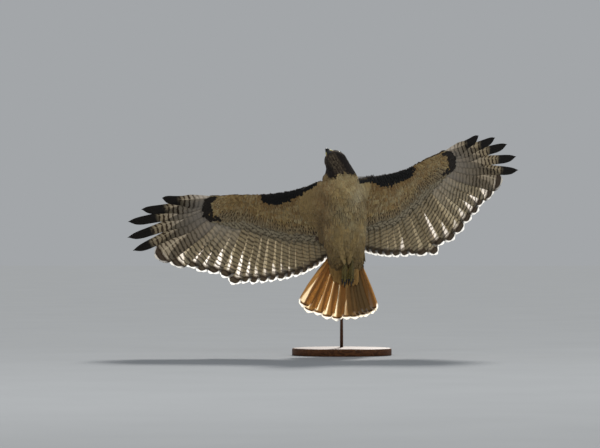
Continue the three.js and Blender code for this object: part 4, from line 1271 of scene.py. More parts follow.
def body_marks(point, normal):
    """Tone and marks (streak, dark spot, pale fringe) of one body feather. Its tone holds painted light
    and shade too.
    """
    along = float(inside(BODY, point)[2])
    facing = float(normal @ BELLYWARD)
    front = smooth(-0.25, 0.15, facing + rng.normal(0, 0.04))
    tone = mix(BUFF, BUFF_GREY, np.clip(soft_patches(point, 17) + rng.normal(0, 0.25), 0, 1))
    # darker warm buff on the bird's right side: painted shade, with some warmth at random everywhere
    warm_and_shade = 0.65 * smooth(-5, -60, point[0]) + rng.normal(0.1, 0.15)
    tone = mix(tone, BUFF_WARM_SHADE, np.clip(warm_and_shade, 0, 1))
    # darker towards the vent and the tail: painted shade under the body
    tone = mix(tone, SHADED_VENT, smooth(30, -110, along) * 0.9) * mix(0.8, 1.16, soft_patches(point[::-1], 9))
    band = smooth(-22, 34, along) * (1 - smooth(66, 96, along))
    # a painted highlight high on the breast's left side
    lit = math.exp(-((point[0] - 40) / 15) ** 2 - ((point[2] - 492) / 34) ** 2)
    # a painted shadow in the hollow between the body and the right wing
    shaded = smooth(-46, -62, point[0]) * smooth(455, 420, point[2]) * smooth(-90, -76, point[0])
    tone = mix(tone * mix(1, 0.8, band), BUFF_LIT, 0.6 * lit * rng.uniform(0.4, 1))
    tone = mix(tone, FLANK_SHADE, 0.7 * shaded * rng.uniform(0.6, 1))
    streak = 0.45 * rng.uniform() ** 2
    if rng.uniform() < 0.72 * band:
        streak = rng.uniform(0.65, 0.95)
    streak = max(streak, 0.6 * smooth(0.7, 0.3, facing) * (rng.uniform() < 0.4))
    tone = mix(mix(BACK, BACK_PALE, 0.55 * rng.uniform() ** 2), tone, front)
    fringe, streak = mix(0.7, 0.3, front), mix(0.4 * rng.uniform(), streak, front)
    edge = np.interp(point[0], *HOOD_EDGE) + rng.normal(0, 3.0)
    hood = float(smooth(-4, 4, along - edge))
    if hood > 0:
        dark, chin = hood_tone(normal, [float(x) for x in inside(HEAD, point)])
        streak = mix(streak, 0.8, chin)
        tone, fringe = mix(tone, dark, hood), mix(fringe, 0.12, hood)
    return tone * rng.uniform(0.87, 1.13), (streak, 0.0, fringe)


print("hood ends, mm along the body:", min(HOOD_EDGE[1]), "to", max(HOOD_EDGE[1]))

# %% [markdown]
# ## The coat
# Body feathers grow in rows, each half a step aside from the last, like roof tiles. A table
# gives every root its place, lie and size, from the shape of the tube below. Geometry Nodes
# then set a feather on each root, turn it to the lie and make it real mesh.

# %% Small feather shapes
def small_feather(name, width, notch, columns, seed):
    """A soft leaf one unit long, lying along y with its upper face to z."""
    wobble = np.random.default_rng(seed)
    rows = ((0.0, 0.12), (0.25, 0.66), (0.55, 0.98), (0.8, 0.88), (0.94, 0.5))
    upper, vane = [], []
    for t, share in rows:
        for c in columns:
            x = 0.5 * width * share * c * (1 + wobble.normal(0, 0.05))
            y = t + (0.07 * (1 - c * c) if t > 0.9 else 0) - notch * (abs(c) > 0.9) * t
            upper.append((x, y, 0.10 * math.sin(t * 2.6) * (1 - 0.75 * c * c)))
            vane.append((0.5 + 0.5 * c, t / 0.94))
    count, wide = len(upper), len(columns)
    points = upper + [(x, y, z - 0.02) for x, y, z in upper]
    sheet = [(i * wide + j, i * wide + j + 1, (i + 1) * wide + j + 1, (i + 1) * wide + j)
             for i in range(len(rows) - 1) for j in range(wide - 1)]
    loop = list(range(wide)) + [wide * i - 1 for i in range(2, len(rows) + 1)]
    loop += [count - k for k in range(2, wide + 1)] + [wide * i for i in range(len(rows) - 2, 0, -1)]
    faces = sheet + [tuple(k + count for k in reversed(f)) for f in sheet]
    faces += [(a, a + count, b + count, b) for a, b in zip(loop, loop[1:] + loop[:1])]
    mesh = new_mesh(name, points, faces)
    layer = mesh.uv_layers.new(name="vane")
    for corner in mesh.loops:
        layer.uv[corner.index].vector = vane[corner.vertex_index % count]
    return new_object(name, mesh)


FULL, NARROW = (-1.0, -0.45, 0.0, 0.45, 1.0), (-1.0, 0.0, 1.0)
large_shapes = [small_feather(f"large_shape_{i}", width, notch, FULL, i)
                for i, (width, notch) in enumerate(((0.78, 0.02), (0.66, 0.05), (0.9, 0)))]
small_shapes = [small_feather(f"small_shape_{i}", width, notch, NARROW, 9 + i)
                for i, (width, notch) in enumerate(((0.8, 0.02), (0.68, 0.05), (0.92, 0)))]
print("faces of a feather:", len(large_shapes[0].data.polygons), "or", len(small_shapes[0].data.polygons))

# %% Geometry Nodes tree that sets feathers on roots
ROOT_KEYS = ("lie", "outward", "size", "root_uv")  # what the tree reads from each root


def coat_tree():
    tree = bpy.data.node_groups.new("set_feathers", "GeometryNodeTree")
    face = tree.interface
    face.new_socket("Roots", in_out="INPUT", socket_type="NodeSocketGeometry")
    for title, kind in (("Shape A", "Object"), ("Shape B", "Object"), ("Shape C", "Object"),
                        ("Feather Material", "Material"), ("Seed", "Int"), ("Patch Size", "Float")):
        face.new_socket(title, in_out="INPUT", socket_type=f"NodeSocket{kind}")
    face.new_socket("Coat", in_out="OUTPUT", socket_type="NodeSocketGeometry")
    group = tree.nodes.new("NodeGroupInput")
    lie, outward, size, root_uv, vane = (
        add_node(tree, "GeometryNodeInputNamedAttribute", [key], data_type="FLOAT_VECTOR")
        for key in (*ROOT_KEYS, "vane"))
    shapes = [add_node(tree, "GeometryNodeObjectInfo", [group.outputs[title]], out="Geometry")
              for title in ("Shape A", "Shape B", "Shape C")]
    instances = tree.nodes.new("GeometryNodeGeometryToInstance")
    for shape in reversed(shapes):
        tree.links.new(shape, instances.inputs[0])
    turn = add_node(
        tree, "FunctionNodeAxesToRotation", [outward, lie], primary_axis="Z", secondary_axis="Y")
    pick = add_node(
        tree, "FunctionNodeRandomValue", {4: 0, 5: 2, "Seed": group.outputs["Seed"]},
        out=2, data_type="INT")
    placed = add_node(tree, "GeometryNodeInstanceOnPoints", {
        "Points": group.outputs["Roots"], "Instance": instances.outputs[0], "Pick Instance": True,
        "Instance Index": pick, "Rotation": turn, "Scale": size})
    real = add_node(tree, "GeometryNodeRealizeInstances", [placed])
    middle = add_node(tree, "VectorMath", [vane, (0.5, 0.5, 0.0)], operation="SUBTRACT")
    local = add_node(
        tree, "VectorMath", {0: middle, "Scale": group.outputs["Patch Size"]}, operation="SCALE")
    spot = add_node(tree, "VectorMath", [root_uv, local], operation="ADD")
    mapped = add_node(tree, "GeometryNodeStoreNamedAttribute", {
        "Geometry": real, "Name": "OFBake", "Value": spot}, data_type="FLOAT2", domain="CORNER")
    painted = add_node(tree, "GeometryNodeSetMaterial", {
        "Geometry": mapped, "Material": group.outputs["Feather Material"]})
    tree.links.new(painted, tree.nodes.new("NodeGroupOutput").inputs[0])
    return tree


COAT_TREE = coat_tree()
coat_inputs = {
    item.name: item.identifier for item in COAT_TREE.interface.items_tree if item.in_out == "INPUT"}
print("inputs of the coat's tree:", ", ".join(coat_inputs))

# %% A table of roots becomes a coat
def empty_roots():
    return {key: [] for key in ("point", *ROOT_KEYS, "tone", "marks")}


def add_root(table, **values):
    for key, value in values.items():
        table[key].append(value)


def grow_coat(name, roots, seed, shapes):
    """Turns a table of roots into one mesh of feathers."""
    mesh = new_mesh(name + "_roots", (np.array(roots["point"]) * MM).tolist(), [])
    for key in (*ROOT_KEYS, "tone", "marks"):
        store_vectors(mesh, key, roots[key])
    carrier = new_object(name + "_roots", mesh)
    modifier = carrier.modifiers.new("set_feathers", "NODES")
    modifier.node_group = COAT_TREE
    for title, value in (("Shape A", shapes[0]), ("Shape B", shapes[1]), ("Shape C", shapes[2]),
                         ("Feather Material", CONTOUR), ("Seed", seed), ("Patch Size", PATCH)):
        modifier[coat_inputs[title]] = value
    result = plain_mesh(carrier)
    result.name = name
    bpy.data.objects.remove(carrier)
    for spare in ROOT_KEYS:
        result.attributes.remove(result.attributes[spare])
    print(name, "feathers:", len(roots["point"]), "faces:", len(result.polygons))
    return new_object(name, result)


# %% Roots over a tube or a sheet
ROOT_SPACING = 0.55  # distance between roots in a row, as a share of a feather's width


def lengths_round(points, closed):
    """How far along a row of points each one lies, and for a ring, back to the first."""
    ahead = np.roll(points, -1, 0) - points if closed else np.diff(points, axis=0)
    return np.concatenate([[0], np.cumsum(np.linalg.norm(ahead, axis=1))])


def clothe(rings, sizes, keep, marks_of, unwrap, rise, closed=True):
    """A table of feather roots in staggered rows over rings. sizes gives width, length and row
    step at a share of the way to the head, and keep says whether a root is wanted."""
    normal, lie, length = tube_frame(rings, closed)
    table = empty_roots()
    count = rings.shape[1]
    place, row = 0.0, 0
    while place < length[-1]:
        x = float(np.interp(place, length, np.arange(len(rings))))
        i = min(int(x), len(rings) - 2)
        here, n_here, l_here = (mix(v[i], v[i + 1], x - i) for v in (rings, normal, lie))
        width, long, pitch = sizes(place / length[-1])
        arc = lengths_round(here, closed)
        number = max(int(arc[-1] / (width * ROOT_SPACING)), 3)
        for k in range(number):
            share = (k + 0.5 * (row % 2) + rng.uniform(-0.22, 0.22)) / number
            share = share % 1.0 if closed else min(max(share, 0), 1)
            j = float(np.interp(share * arc[-1], arc, np.arange(len(arc))))
            a = min(int(j), len(arc) - 2)
            b = (a + 1) % count
            point, n, down = (mix(v[a], v[b], j - a) for v in (here, n_here, l_here))
            n, down = unit(n), unit(down)
            point = point + down * rng.uniform(-0.25, 0.25) * pitch
            if not keep(point, n):
                continue
            tone, marks = marks_of(point, n)
            tilt = rise * rng.uniform(0.8, 1.25)
            lean = down * math.cos(tilt) + n * math.sin(tilt) + np.cross(n, down) * rng.normal(0, 0.09)
            grown = rng.uniform(0.88, 1.14)
            add_root(
                table, point=point - n * (long * math.sin(tilt) * 0.8 + 0.6), lie=unit(lean),
                outward=unit(n * math.cos(tilt) - down * math.sin(tilt)),
                size=np.array([width * 1.35, long, 0.75 * long]) * grown * MM,
                root_uv=(*unwrap(share, place / length[-1]), 0.0), tone=tone, marks=marks)
        place += pitch
        row += 1
    return table


# %% Body feathers
EYE_ACROSS, EYE_BELLY, EYE_ALONG, EYE_RADIUS = 22.5, -7.5, 10.5, 8.4
EYE_CENTRES = {side: at(HEAD, s * EYE_ACROSS, EYE_BELLY, EYE_ALONG) for s, side in SIDES}
CERE_START = 31.5
HOOD_START = 104  # along the body, where its feathers become the head's piece
SIZE_PLACES = (0.0, 0.16, 0.35, 0.52, 0.66, 0.74, 0.82, 0.9, 1.0)


def body_sizes(share):
    """Width, length and row step, in mm, from the tail's root (0) to the face (1)."""
    width = np.interp(share, SIZE_PLACES, (13, 14, 14, 13, 11.5, 9, 6.5, 4.8, 2.8))
    long = np.interp(share, SIZE_PLACES, (30, 37, 38, 33, 27, 20, 12.5, 8.5, 4.4))
    return width, long, long * 0.23


def clear_of_eyes(point, gap):
    return all(np.linalg.norm(point - eye) > EYE_RADIUS + gap for eye in EYE_CENTRES.values())


def keep_body(point, n):
    return clear_of_eyes(point, 0.9) and float(inside(HEAD, point)[2]) < CERE_START


def part_table(table, wanted):
    return {key: [value for value, w in zip(values, wanted) if w] for key, values in table.items()}


body_table = clothe(
    coat_rings, body_sizes, keep_body, body_marks, lambda a, b: (0.02 + 0.96 * a, 0.02 + 0.6 * b),
    math.radians(8))
on_head = [float(inside(BODY, p)[2]) > HOOD_START for p in body_table["point"]]
on_front = [not h and float(n @ BELLYWARD) > 0 for h, n in zip(on_head, body_table["outward"])]
on_back = [not h and not f for h, f in zip(on_head, on_front)]
head_coat = grow_coat("head_feathers", part_table(body_table, on_head), 3, small_shapes)
breast_coat = grow_coat("breast_feathers", part_table(body_table, on_front), 4, large_shapes)
back_coat = grow_coat("back_feathers", part_table(body_table, on_back), 5, large_shapes)

# %% [markdown]
# ## Between the body and the wings
# On a live bird long soft feathers hide the place where the wing leaves the body. A sheet is
# laid from the breast's side to the wing's underside, and clothed as the body is.

# %% Sheets from the breast to the wings
# Where the sheet starts and ends along the body, its reach on the wing, and its angle round
# the body, which counts from the bird's left
BRIDGES = {"right": ((-60, 112), 66.0, 142), "left": ((40, 112), 40.0, 36)}
BRIDGE_ROWS, BRIDGE_COLUMNS = 16, 12


def torso_point(along, angle):
    row = [np.interp(along, [r[0] for r in BODY_ROWS], [r[i] for r in BODY_ROWS]) for i in range(1, 6)]
    half, belly, _, across, lift = row
    turned = math.radians(angle)
    return at(BODY, across + half * math.cos(turned), lift + belly * math.sin(turned), along)


def bridge_sheet(name):
    """Rows from tail to head of points from the breast to the wing, in a smooth hollow."""
    (low, high), reach, angle = BRIDGES[name]
    wing = WINGS[name]
    rows = []
    for along in np.linspace(low, high, BRIDGE_ROWS):
        start, beside = torso_point(along, angle), torso_point(along, angle + wing["side"] * -8)
        v = float((start - np.array(wing["shoulder"])) @ HEADWARD)
        v = min(v, front_edge(wing, reach) - 5)
        fade = smooth(low - 1, low + 80, along)
        end = wing_surface(wing, mix(0.25, 1, fade) * reach, v, -mix(6, 14, smooth(-120, -20, v)))
        bend = start + unit(beside - start) * 0.45 * float(np.linalg.norm(end - start))
        t = np.linspace(0, 1, BRIDGE_COLUMNS)[:, None]
        rows.append(start * (1 - t) ** 2 + bend * 2 * t * (1 - t) + end * t ** 2)
    return np.array(rows)


def bridge_marks(name):
    wing = WINGS[name]

    def marks_of(point, normal):
        u = max(abs(point[0]) - 60, 0) / math.cos(math.radians(wing["slope"][0]))
        v = (point[2] - float(wing_surface(wing, u, 0, 0)[2])) / HEADWARD[2]
        if front_edge(wing, u) - v + 6 < patagial_depth(name, u):
            return BLACK_COVERT, (0.0, 0.0, 0.0)
        tone, marks = body_marks(point, BELLYWARD)
        tone = mix(tone, BUFF_COVERT, 0.6 * smooth(0, 50, u)) * 0.97
        return tone, (0.6 * rng.uniform(), 0.0, marks[2])
    return marks_of


def bridge_sizes(share):
    front = smooth(0.55, 0.95, share)
    return mix(11, 7, front), mix(28, 12, front), mix(6.5, 3.2, front)


# %% Armpit feathers and the skin under them
SHEET_SKIN, HOLLOW = 14.0, 18.0  # the skin's depth, and more of it in the hollow at the front end


def join_roots(table):
    """Adds a table of roots to the body's own, which the skin takes its colours from."""
    for key in body_table:
        body_table[key] += table[key]


to_head = np.linspace(0, 1, BRIDGE_ROWS)[:, None, None]
to_wing = np.linspace(0, 1, BRIDGE_COLUMNS)[None, :, None]
sheet_depth = SHEET_SKIN + HOLLOW * to_head ** 2 * np.sin(math.pi * to_wing)
bridge_coats, bridge_skins = [], []
for name, spot in (("right", 0.05), ("left", 0.55)):
    sheet = bridge_sheet(name)
    table = clothe(
        sheet, bridge_sizes, lambda p, n: True, bridge_marks(name),
        lambda a, b, spot=spot: (spot + 0.2 * a, 0.66 + 0.3 * b), math.radians(7), closed=False)
    bridge_coats.append(grow_coat(f"axillary_feathers_{name}", table, 11, large_shapes))
    normal = tube_frame(sheet, closed=False)[0]
    bridge_skins.append(
        np.concatenate([sheet - 4.0 * normal, (sheet - sheet_depth * normal)[:, ::-1]], 1))
    join_roots(table)

# %% [markdown]
# ## Thighs
# The thighs carry loose plain feathers, which lie over the lower belly and reach to the feet.

# %% Thigh feathers
def thigh_rows(s):
    return ((-122, 6, 6, 6, s * 11, 38), (-104, 10, 10, 12, s * 15, 36), (-75, 14, 14, 16, s * 22, 40),
            (-45, 14, 13, 16, s * 27, 46), (-26, 8, 9, 10, s * 29, 50))


def thigh_marks(point, normal):
    # the thighs take some of the vent's darker tone: painted shade under the body
    tone = mix(SHADED_VENT, BUFF, rng.uniform(0.2, 1)) * mix(0.9, 1.1, soft_patches(point[::-1], 9))
    return tone * rng.uniform(0.9, 1.1), (0.15 * rng.uniform(), 0.0, 0.3)


thigh_coats, thigh_skins = [], []
for s, side in SIDES:
    table = clothe(
        rings_of(BODY, thigh_rows(s), 14, 32), lambda share: (8, 20, 5),
        lambda p, n: float(n @ BELLYWARD) > -0.6 and float(inside(BODY, p)[2]) < -50,
        thigh_marks, lambda a, b, s=s: (0.37 + 0.05 * s + 0.08 * a, 0.66 + 0.3 * b), math.radians(7))
    thigh_coats.append(grow_coat(f"thigh_feathers_{side}", table, 7 + s, small_shapes))
    thigh_skins.append(rings_of(BODY, thigh_rows(s), 12, 24, -2.5))
    join_roots(table)

# %% [markdown]
# ## Tail coverts
# Longer feathers cover the tail's root above and below. Those below are plain buff, darkened
# by painted shade nearer the body, and the toes lie tucked among them.

# %% Tail coverts
TIERS = (  # which face, height from the tail's middle, how many, and how far they reach
    (1, -8.5, 11, 128), (1, -10.0, 12, 116), (1, -11.5, 11, 104), (1, -13.0, 12, 92),
    (1, -14.5, 11, 80), (-1, 6.0, 9, 100), (-1, 7.5, 8, 84), (-1, 9.0, 7, 68))


def tail_covert_tone(face, reach):
    if face > 0:
        # shorter coverts, nearer the body, take the vent's darker tone: painted shade
        return mix(linear("#9A7743"), SHADED_VENT, smooth(120, 70, reach) * rng.uniform(0.5, 1)) * 1.15
    return mix(linear("#7A3E20"), BACK, rng.uniform(0.3, 0.8))


covert_sheaf = Sheaf()
for tier, (face, height, number, reach) in enumerate(TIERS):
    for k in range(number):
        x = (k + 0.5 * (tier % 2)) / (number - 0.5)
        angle = mix(TAIL_FAN[0] * 0.86, TAIL_FAN[1] * 0.86, x)
        shorter = 45 * abs(angle - 0.12) + 45 * max(-angle - 0.05, 0) * (face > 0)
        end = fanned(angle, reach - shorter + rng.normal(0, 6))
        tone = tail_covert_tone(face, reach)
        grow_vane(
            covert_sheaf, tail_surface, tail_root(angle) * np.array([0.85, 0.5]), end, 19, COVERT,
            SHORT_ROWS, FEW_COLUMNS, (height, height * 0.93 + 1.5 * face), 0.0, lead=0.5,
            cup=-0.8 * face, patch=small_island(0.1 + 0.8 * x, 0.1 + 0.1 * tier),
            tone=tone * rng.uniform(0.86, 1.12), marks=(0.25 * rng.uniform(), 0.0, 0.05))
tail_coverts = covert_sheaf.make("tail_coverts", [CONTOUR])

# %% [markdown]
# ## One skin
# The tubes of the body, thighs and wings are joined, and a voxel remesh makes one closed
# surface of them, so that no seam shows where a feather is lifted. Each point of the skin
# takes the mean colour of the feathers that grow next to it.

# %% Tubes of a wing's flesh
# A section through the wing: the way back from its front edge, and the height over its middle
FLESH_SECTION = ((0, 0), (0.07, 0.6), (0.3, 1), (0.7, 0.85), (1, 0.5), (1, -0.5), (0.7, -0.75),
                 (0.3, -0.85), (0.07, -0.5))


def arm_flesh(wing):
    rings = []
    elbow, wrist = elbow_of(wing["wrist"]), wing["wrist"]
    for x in np.linspace(0, 1, 16):
        u = mix(-30, wrist[0] + 10, x)
        front = front_edge(wing, u) - 2.0
        if u < elbow[0]:
            bone = mix(0, elbow[1], u / elbow[0])
        else:
            bone = mix(elbow[1], wrist[1], (u - elbow[0]) / (wrist[0] - elbow[0]))
        back, thick = bone - mix(30, 12, x), mix(13, 6, x)
        rings.append([wing_surface(wing, u, mix(front, back, c), h * thick) for c, h in FLESH_SECTION])
    return np.array(rings)


def hand_flesh(wing):
    rings = []
    angle = hand_angle(wing)
    for along in np.linspace(-20, HAND + 14, 10):
        x = min(max(along / HAND, 0), 1.2)
        centre = step(wing["wrist"], angle, along)
        section = []
        for c, h in FLESH_SECTION:
            place = step(centre, angle + math.radians(90), mix(mix(11, 4, x), -mix(14, 6, x), c))
            section.append(wing_surface(wing, *place, h * mix(6.5, 2.6, x)))
        rings.append(section)
    return np.array(rings)


# %% Skin
VOXEL_MM = 2.6
NEAR_ROOTS = 3  # how many feathers give each point of the skin its colour


def points_of(collection, key):
    """A vector of each point or face of a mesh, as rows of an array."""
    values = np.empty(len(collection) * 3)
    collection.foreach_get(key, values)
    return values.reshape(-1, 3)


tubes = [skin_rings, *thigh_skins, *bridge_skins]
for wing in WINGS.values():
    tubes += [arm_flesh(wing), hand_flesh(wing)]
skin = several_tubes("skin", tubes, SKIN)
remesh = skin.modifiers.new("remesh", "REMESH")
remesh.mode = "VOXEL"
remesh.voxel_size = VOXEL_MM * MM
skin.data = plain_mesh(skin)
skin.modifiers.clear()
shade_smooth(skin.data)

root_points = np.vstack([body_table["point"]] + [points for points, _ in covert_roots])
root_tones = np.vstack([body_table["tone"]] + [tones for _, tones in covert_roots])
finder = KDTree(len(root_points))
for i, point in enumerate(root_points * MM):
    finder.insert(point, i)
finder.balance()
store_vectors(skin.data, "tone", [
    root_tones[[hit[1] for hit in finder.find_n(point, NEAR_ROOTS)]].mean(0)
    for point in points_of(skin.data.vertices, "co")])
print("skin faces:", len(skin.data.polygons))
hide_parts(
    "torso", "neck", "head", "rump", "leg_right", "leg_left", "wing_right_arm", "wing_right_hand",
    "wing_left_arm", "wing_left_hand")

# %% [markdown]
# ## Shoulder feathers
# Long feathers of the shoulder hide the place where the wing joins the back, and short ones
# wrap its front edge. They are set on the skin itself, well mixed, at a smallest distance.

# %% Shoulder feathers
SHOULDER_GAP, EDGE_GAP = 5.5, 3.0  # smallest distance between two roots
middles = points_of(skin.data.polygons, "center") / MM
facings = points_of(skin.data.polygons, "normal")
skin_tree = BVHTree.FromPolygons(
    [v.co for v in skin.data.vertices], [tuple(face.vertices) for face in skin.data.polygons])


def is_covered(point, n):
    """Whether something of the skin lies over a point, less than 60 mm away."""
    return skin_tree.ray_cast(Vector((point + n) * MM), Vector(n), 60 * MM)[0] is not None


def shoulder_roots(wing):
    """Roots on the shoulder. On its front edge the feathers are short and lie to the back."""
    s, shoulder = wing["side"], np.array(wing["shoulder"])
    across = s * (middles[:, 0] - shoulder[0])
    along = (middles - shoulder) @ HEADWARD
    near = (across > -45) & (across < mix(22, 70, along > 15)) & (along > -140) & (along < 46)
    ahead = facings @ HEADWARD
    wanted = near & (ahead > -0.6) & ((facings @ BELLYWARD < -0.3) | (ahead > 0.5))
    table = empty_roots()
    taken = np.full((1, 3), 1e6)
    for i in rng.permutation(np.flatnonzero(wanted)):
        point, n = middles[i], facings[i]
        edge = smooth(0.3, 0.7, ahead[i])
        nearest = np.linalg.norm(taken - point, axis=1).min()
        if is_covered(point, n) or nearest < mix(SHOULDER_GAP, EDGE_GAP, edge):
            continue
        taken = np.vstack([taken, point])
        down = 0.2 * s * X_AXIS - mix(1, 0.2, edge) * HEADWARD - mix(0.3, 1, edge) * BELLYWARD
        down = unit(down - n * (down @ n))
        tilt = math.radians(8) * rng.uniform(0.8, 1.25)
        long = mix(mix(29, 14, smooth(0, 30, along[i])), 8, edge) * rng.uniform(0.88, 1.14)
        tone = mix(BACK, BACK_PALE, 0.55 * rng.uniform() ** 2) * rng.uniform(0.87, 1.13)
        add_root(
            table, point=point + n * (mix(2.4, 0.8, edge) - long * math.sin(tilt) * 0.5),
            lie=unit(down * math.cos(tilt) + n * math.sin(tilt)),
            outward=unit(n * math.cos(tilt) - down * math.sin(tilt)),
            size=np.array([0.5 * long, long, 0.6 * long]) * MM,
            root_uv=(0.87 + 0.05 * s + 0.001 * across[i], 0.91 + 0.0006 * along[i], 0.0),
            tone=mix(tone, BLACK_COVERT, 0.85 * edge),
            marks=(0.4 * rng.uniform(), 0.0, 0.7 * (1 - edge)))
    return table


shoulder_coats = [
    grow_coat(f"shoulder_feathers_{name}", shoulder_roots(wing), 17 + wing["side"], large_shapes)
    for name, wing in WINGS.items()]

# %% [markdown]
# ## Bill and cere
# A hawk's bill is horn over bone: a hooked upper half over a short lower one. At its base is
# the cere, waxy skin with the nostrils in it. Horn is smooth and a little glossy, with fine
# growth lines along it.

# %% Horn material
GROWTH_MM = 3.846  # the growth lines and stains of horn


def horn(name, root_code, tip_code, rough, start, reach, gloss=0.25):
    """Horn that darkens from its root to its tip, by distance along the head."""
    material, tree, shader = new_material(
        name, rough, ior=1.54, coat_weight=gloss, specular_ior_level=min(2 * gloss, 0.5))
    place = add_node(tree, "TexCoord", out="Object")
    away = add_node(
        tree, "VectorMath", [place, tuple(start * MM)], operation="DISTANCE", out="Value")
    share = add_node(tree, "MapRange", [away, 0.0, reach * MM])
    growth = add_node(tree, "TexNoise", {"Vector": place, "Scale": scale_of(GROWTH_MM), "Detail": 4.0})
    uneven = add_node(tree, "Math", [growth, 0.35, share], operation="MULTIPLY_ADD")
    colour = add_node(
        tree, "Mix", {0: uneven, 6: paint(root_code), 7: paint(tip_code)}, **COLOUR_MIX)
    bump = add_node(tree, "Bump", {"Strength": 0.15, "Distance": 0.0003, "Height": growth})
    link_sockets(tree, shader, base_color=colour, normal=bump)
    return material


BILL_HORN = horn("polished bill horn", "#1E1F21", "#0B0B0B", 0.42, at(HEAD, 0, 0, 36), 20)
# the cere's pale yellow is partly its own colour and partly a painted highlight
CERE = horn("waxy cere skin", "#E2D68C", "#C2B55E", 0.45, at(HEAD, 0, 0, 30), 30)
MOUTH = horn("mouth skin", "#8A6A50", "#3A2A22", 0.5, at(HEAD, 0, 0, 30), 30)
print("horn:", BILL_HORN.name, "and", CERE.name)

# %% Bill and cere
UPPER_BILL = (
    (33.3, 10, 3, 10.5, 0, 0), (38, 8.6, 4, 9.8, 0, 0.5), (43, 7, 6, 8.2, 0, 1.5),
    (48, 5, 8, 5.5, 0, 4), (52, 3, 6.5, 1.8, 0, 8.5), (53.6, 1.1, 2.4, -2.2, 0, 15.2))
LOWER_BILL = (
    (33.3, 9.2, 4.6, 3.4, 0, 7.4), (38, 7.4, 3.6, 2.4, 0, 8), (42.5, 5, 2.4, 1.4, 0, 9),
    (45.5, 2.6, 0.8, 0.4, 0, 10))
CERE_ROWS = (
    (29.5, 13.8, 5.5, 13.8, 0, 0), (33, 12.6, 4.4, 12.6, 0, 0), (37, 10.6, 4.6, 11.6, 0, 0.4),
    (40.5, 8.6, 5.2, 9.8, 0, 1.0))
GAPE_ROWS = (
    (16, 24.6, 1.0, 1.0, 0, 6.8), (24, 20.2, 1.0, 1.0, 0, 6.9), (31, 14.6, 0.9, 0.9, 0, 7.0),
    (36, 9.4, 0.6, 0.6, 0, 7.2))

bill_upper = several_tubes("bill_upper_horn", [rings_of(HEAD, UPPER_BILL, 22, 32)], BILL_HORN)
bill_lower = several_tubes("bill_lower_horn", [rings_of(HEAD, LOWER_BILL, 14, 28)], BILL_HORN)
cere = several_tubes("cere_skin", [rings_of(HEAD, CERE_ROWS, 12, 32)], CERE)
gape = several_tubes("gape_line", [rings_of(HEAD, GAPE_ROWS, 10, 24)], MOUTH)
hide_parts("bill_upper")
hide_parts("bill_lower")
print("bill faces:", len(bill_upper.data.polygons))

# %% Nostrils
def small_ball(name, centre, radii, material, wide=20, high=12):
    """A small ball in the head's axes, with its own radii across, to the belly and along."""
    points, faces = [], []
    for i in range(high + 1):
        polar = math.pi * i / high
        for j in range(wide):
            turn = 2 * math.pi * j / wide
            points.append(centre + HEAD[1] * radii[0] * math.sin(polar) * math.cos(turn)
                          + HEAD[2] * radii[1] * math.sin(polar) * math.sin(turn)
                          + HEAD[3] * radii[2] * math.cos(polar))
    for i in range(high):
        for j in range(wide):
            k = (j + 1) % wide
            faces.append((i * wide + j, i * wide + k, (i + 1) * wide + k, (i + 1) * wide + j))
    piece = make_piece(name, points, faces, material)
    work = bmesh.new()
    work.from_mesh(piece.data)
    bmesh.ops.remove_doubles(work, verts=work.verts, dist=1e-6)
    bmesh.ops.recalc_face_normals(work, faces=work.faces)
    work.to_mesh(piece.data)
    work.free()
    return piece


# the nostrils are dark balls: painted shade inside the holes
DARK_HOLE = horn("nostril shade", "#1A1612", "#0E0C0A", 0.7, at(HEAD, 0, 0, 36), 10)
nostrils = [small_ball(f"nostril_{side}", at(HEAD, s * 9.0, -3.2, 37.0), (1.2, 1.1, 2.0), DARK_HOLE, 16, 8)
            for s, side in SIDES]
print("nostrils at", [np.round(at(HEAD, s * 9.0, -3.2, 37.0)) for s, _ in SIDES])

# %% [markdown]
# ## Eyes
# A hawk's eyes are big and look half forward, under a bony brow that gives the fierce look.
# The iris of an adult is dark brown round a black pupil, under a clear wet dome. Each eye is
# one ball whose colour follows the distance from the middle of its pupil.

# %% Eye material
IRIS_MM = 0.6667  # the fine streaks of the iris
PUPIL_EDGE, IRIS_EDGE = (2.9, 3.2), (5.6, 6.2)  # in mm from the middle of the pupil


def eye_material(side, sight):
    material, tree, shader = new_material(f"glass eye, {side}", 0.05, ior=1.45)
    place = add_node(tree, "TexCoord", out="Object")
    away = add_node(
        tree, "VectorMath", [place, tuple(sight * MM)], operation="DISTANCE", out="Value")
    lines = add_node(tree, "TexNoise", {"Vector": place, "Scale": scale_of(IRIS_MM), "Detail": 3.0})
    iris = add_node(tree, "Mix", {0: lines, 6: paint("#2A160C"), 7: paint("#5A3318")}, **COLOUR_MIX)
    pupil, rim = (add_node(tree, "MapRange", [away, low * MM, high * MM])
                  for low, high in (PUPIL_EDGE, IRIS_EDGE))
    colour = add_node(tree, "Mix", {0: pupil, 6: paint("#030303"), 7: iris}, **COLOUR_MIX)
    colour = add_node(tree, "Mix", {0: rim, 6: colour, 7: paint("#120C08")}, **COLOUR_MIX)
    link_sockets(tree, shader, base_color=colour)
    return material


LID_SKIN = horn("bare lid skin", "#352E25", "#1F1B17", 0.8, at(HEAD, 0, 0, 0), 60, 0.05)

# %% Eyes and lids
LID_STEPS, LID_SIDES = 36, 10
LID_AHEAD, LID_RADIUS, LID_THICK = 5.6, 6.5, 1.1


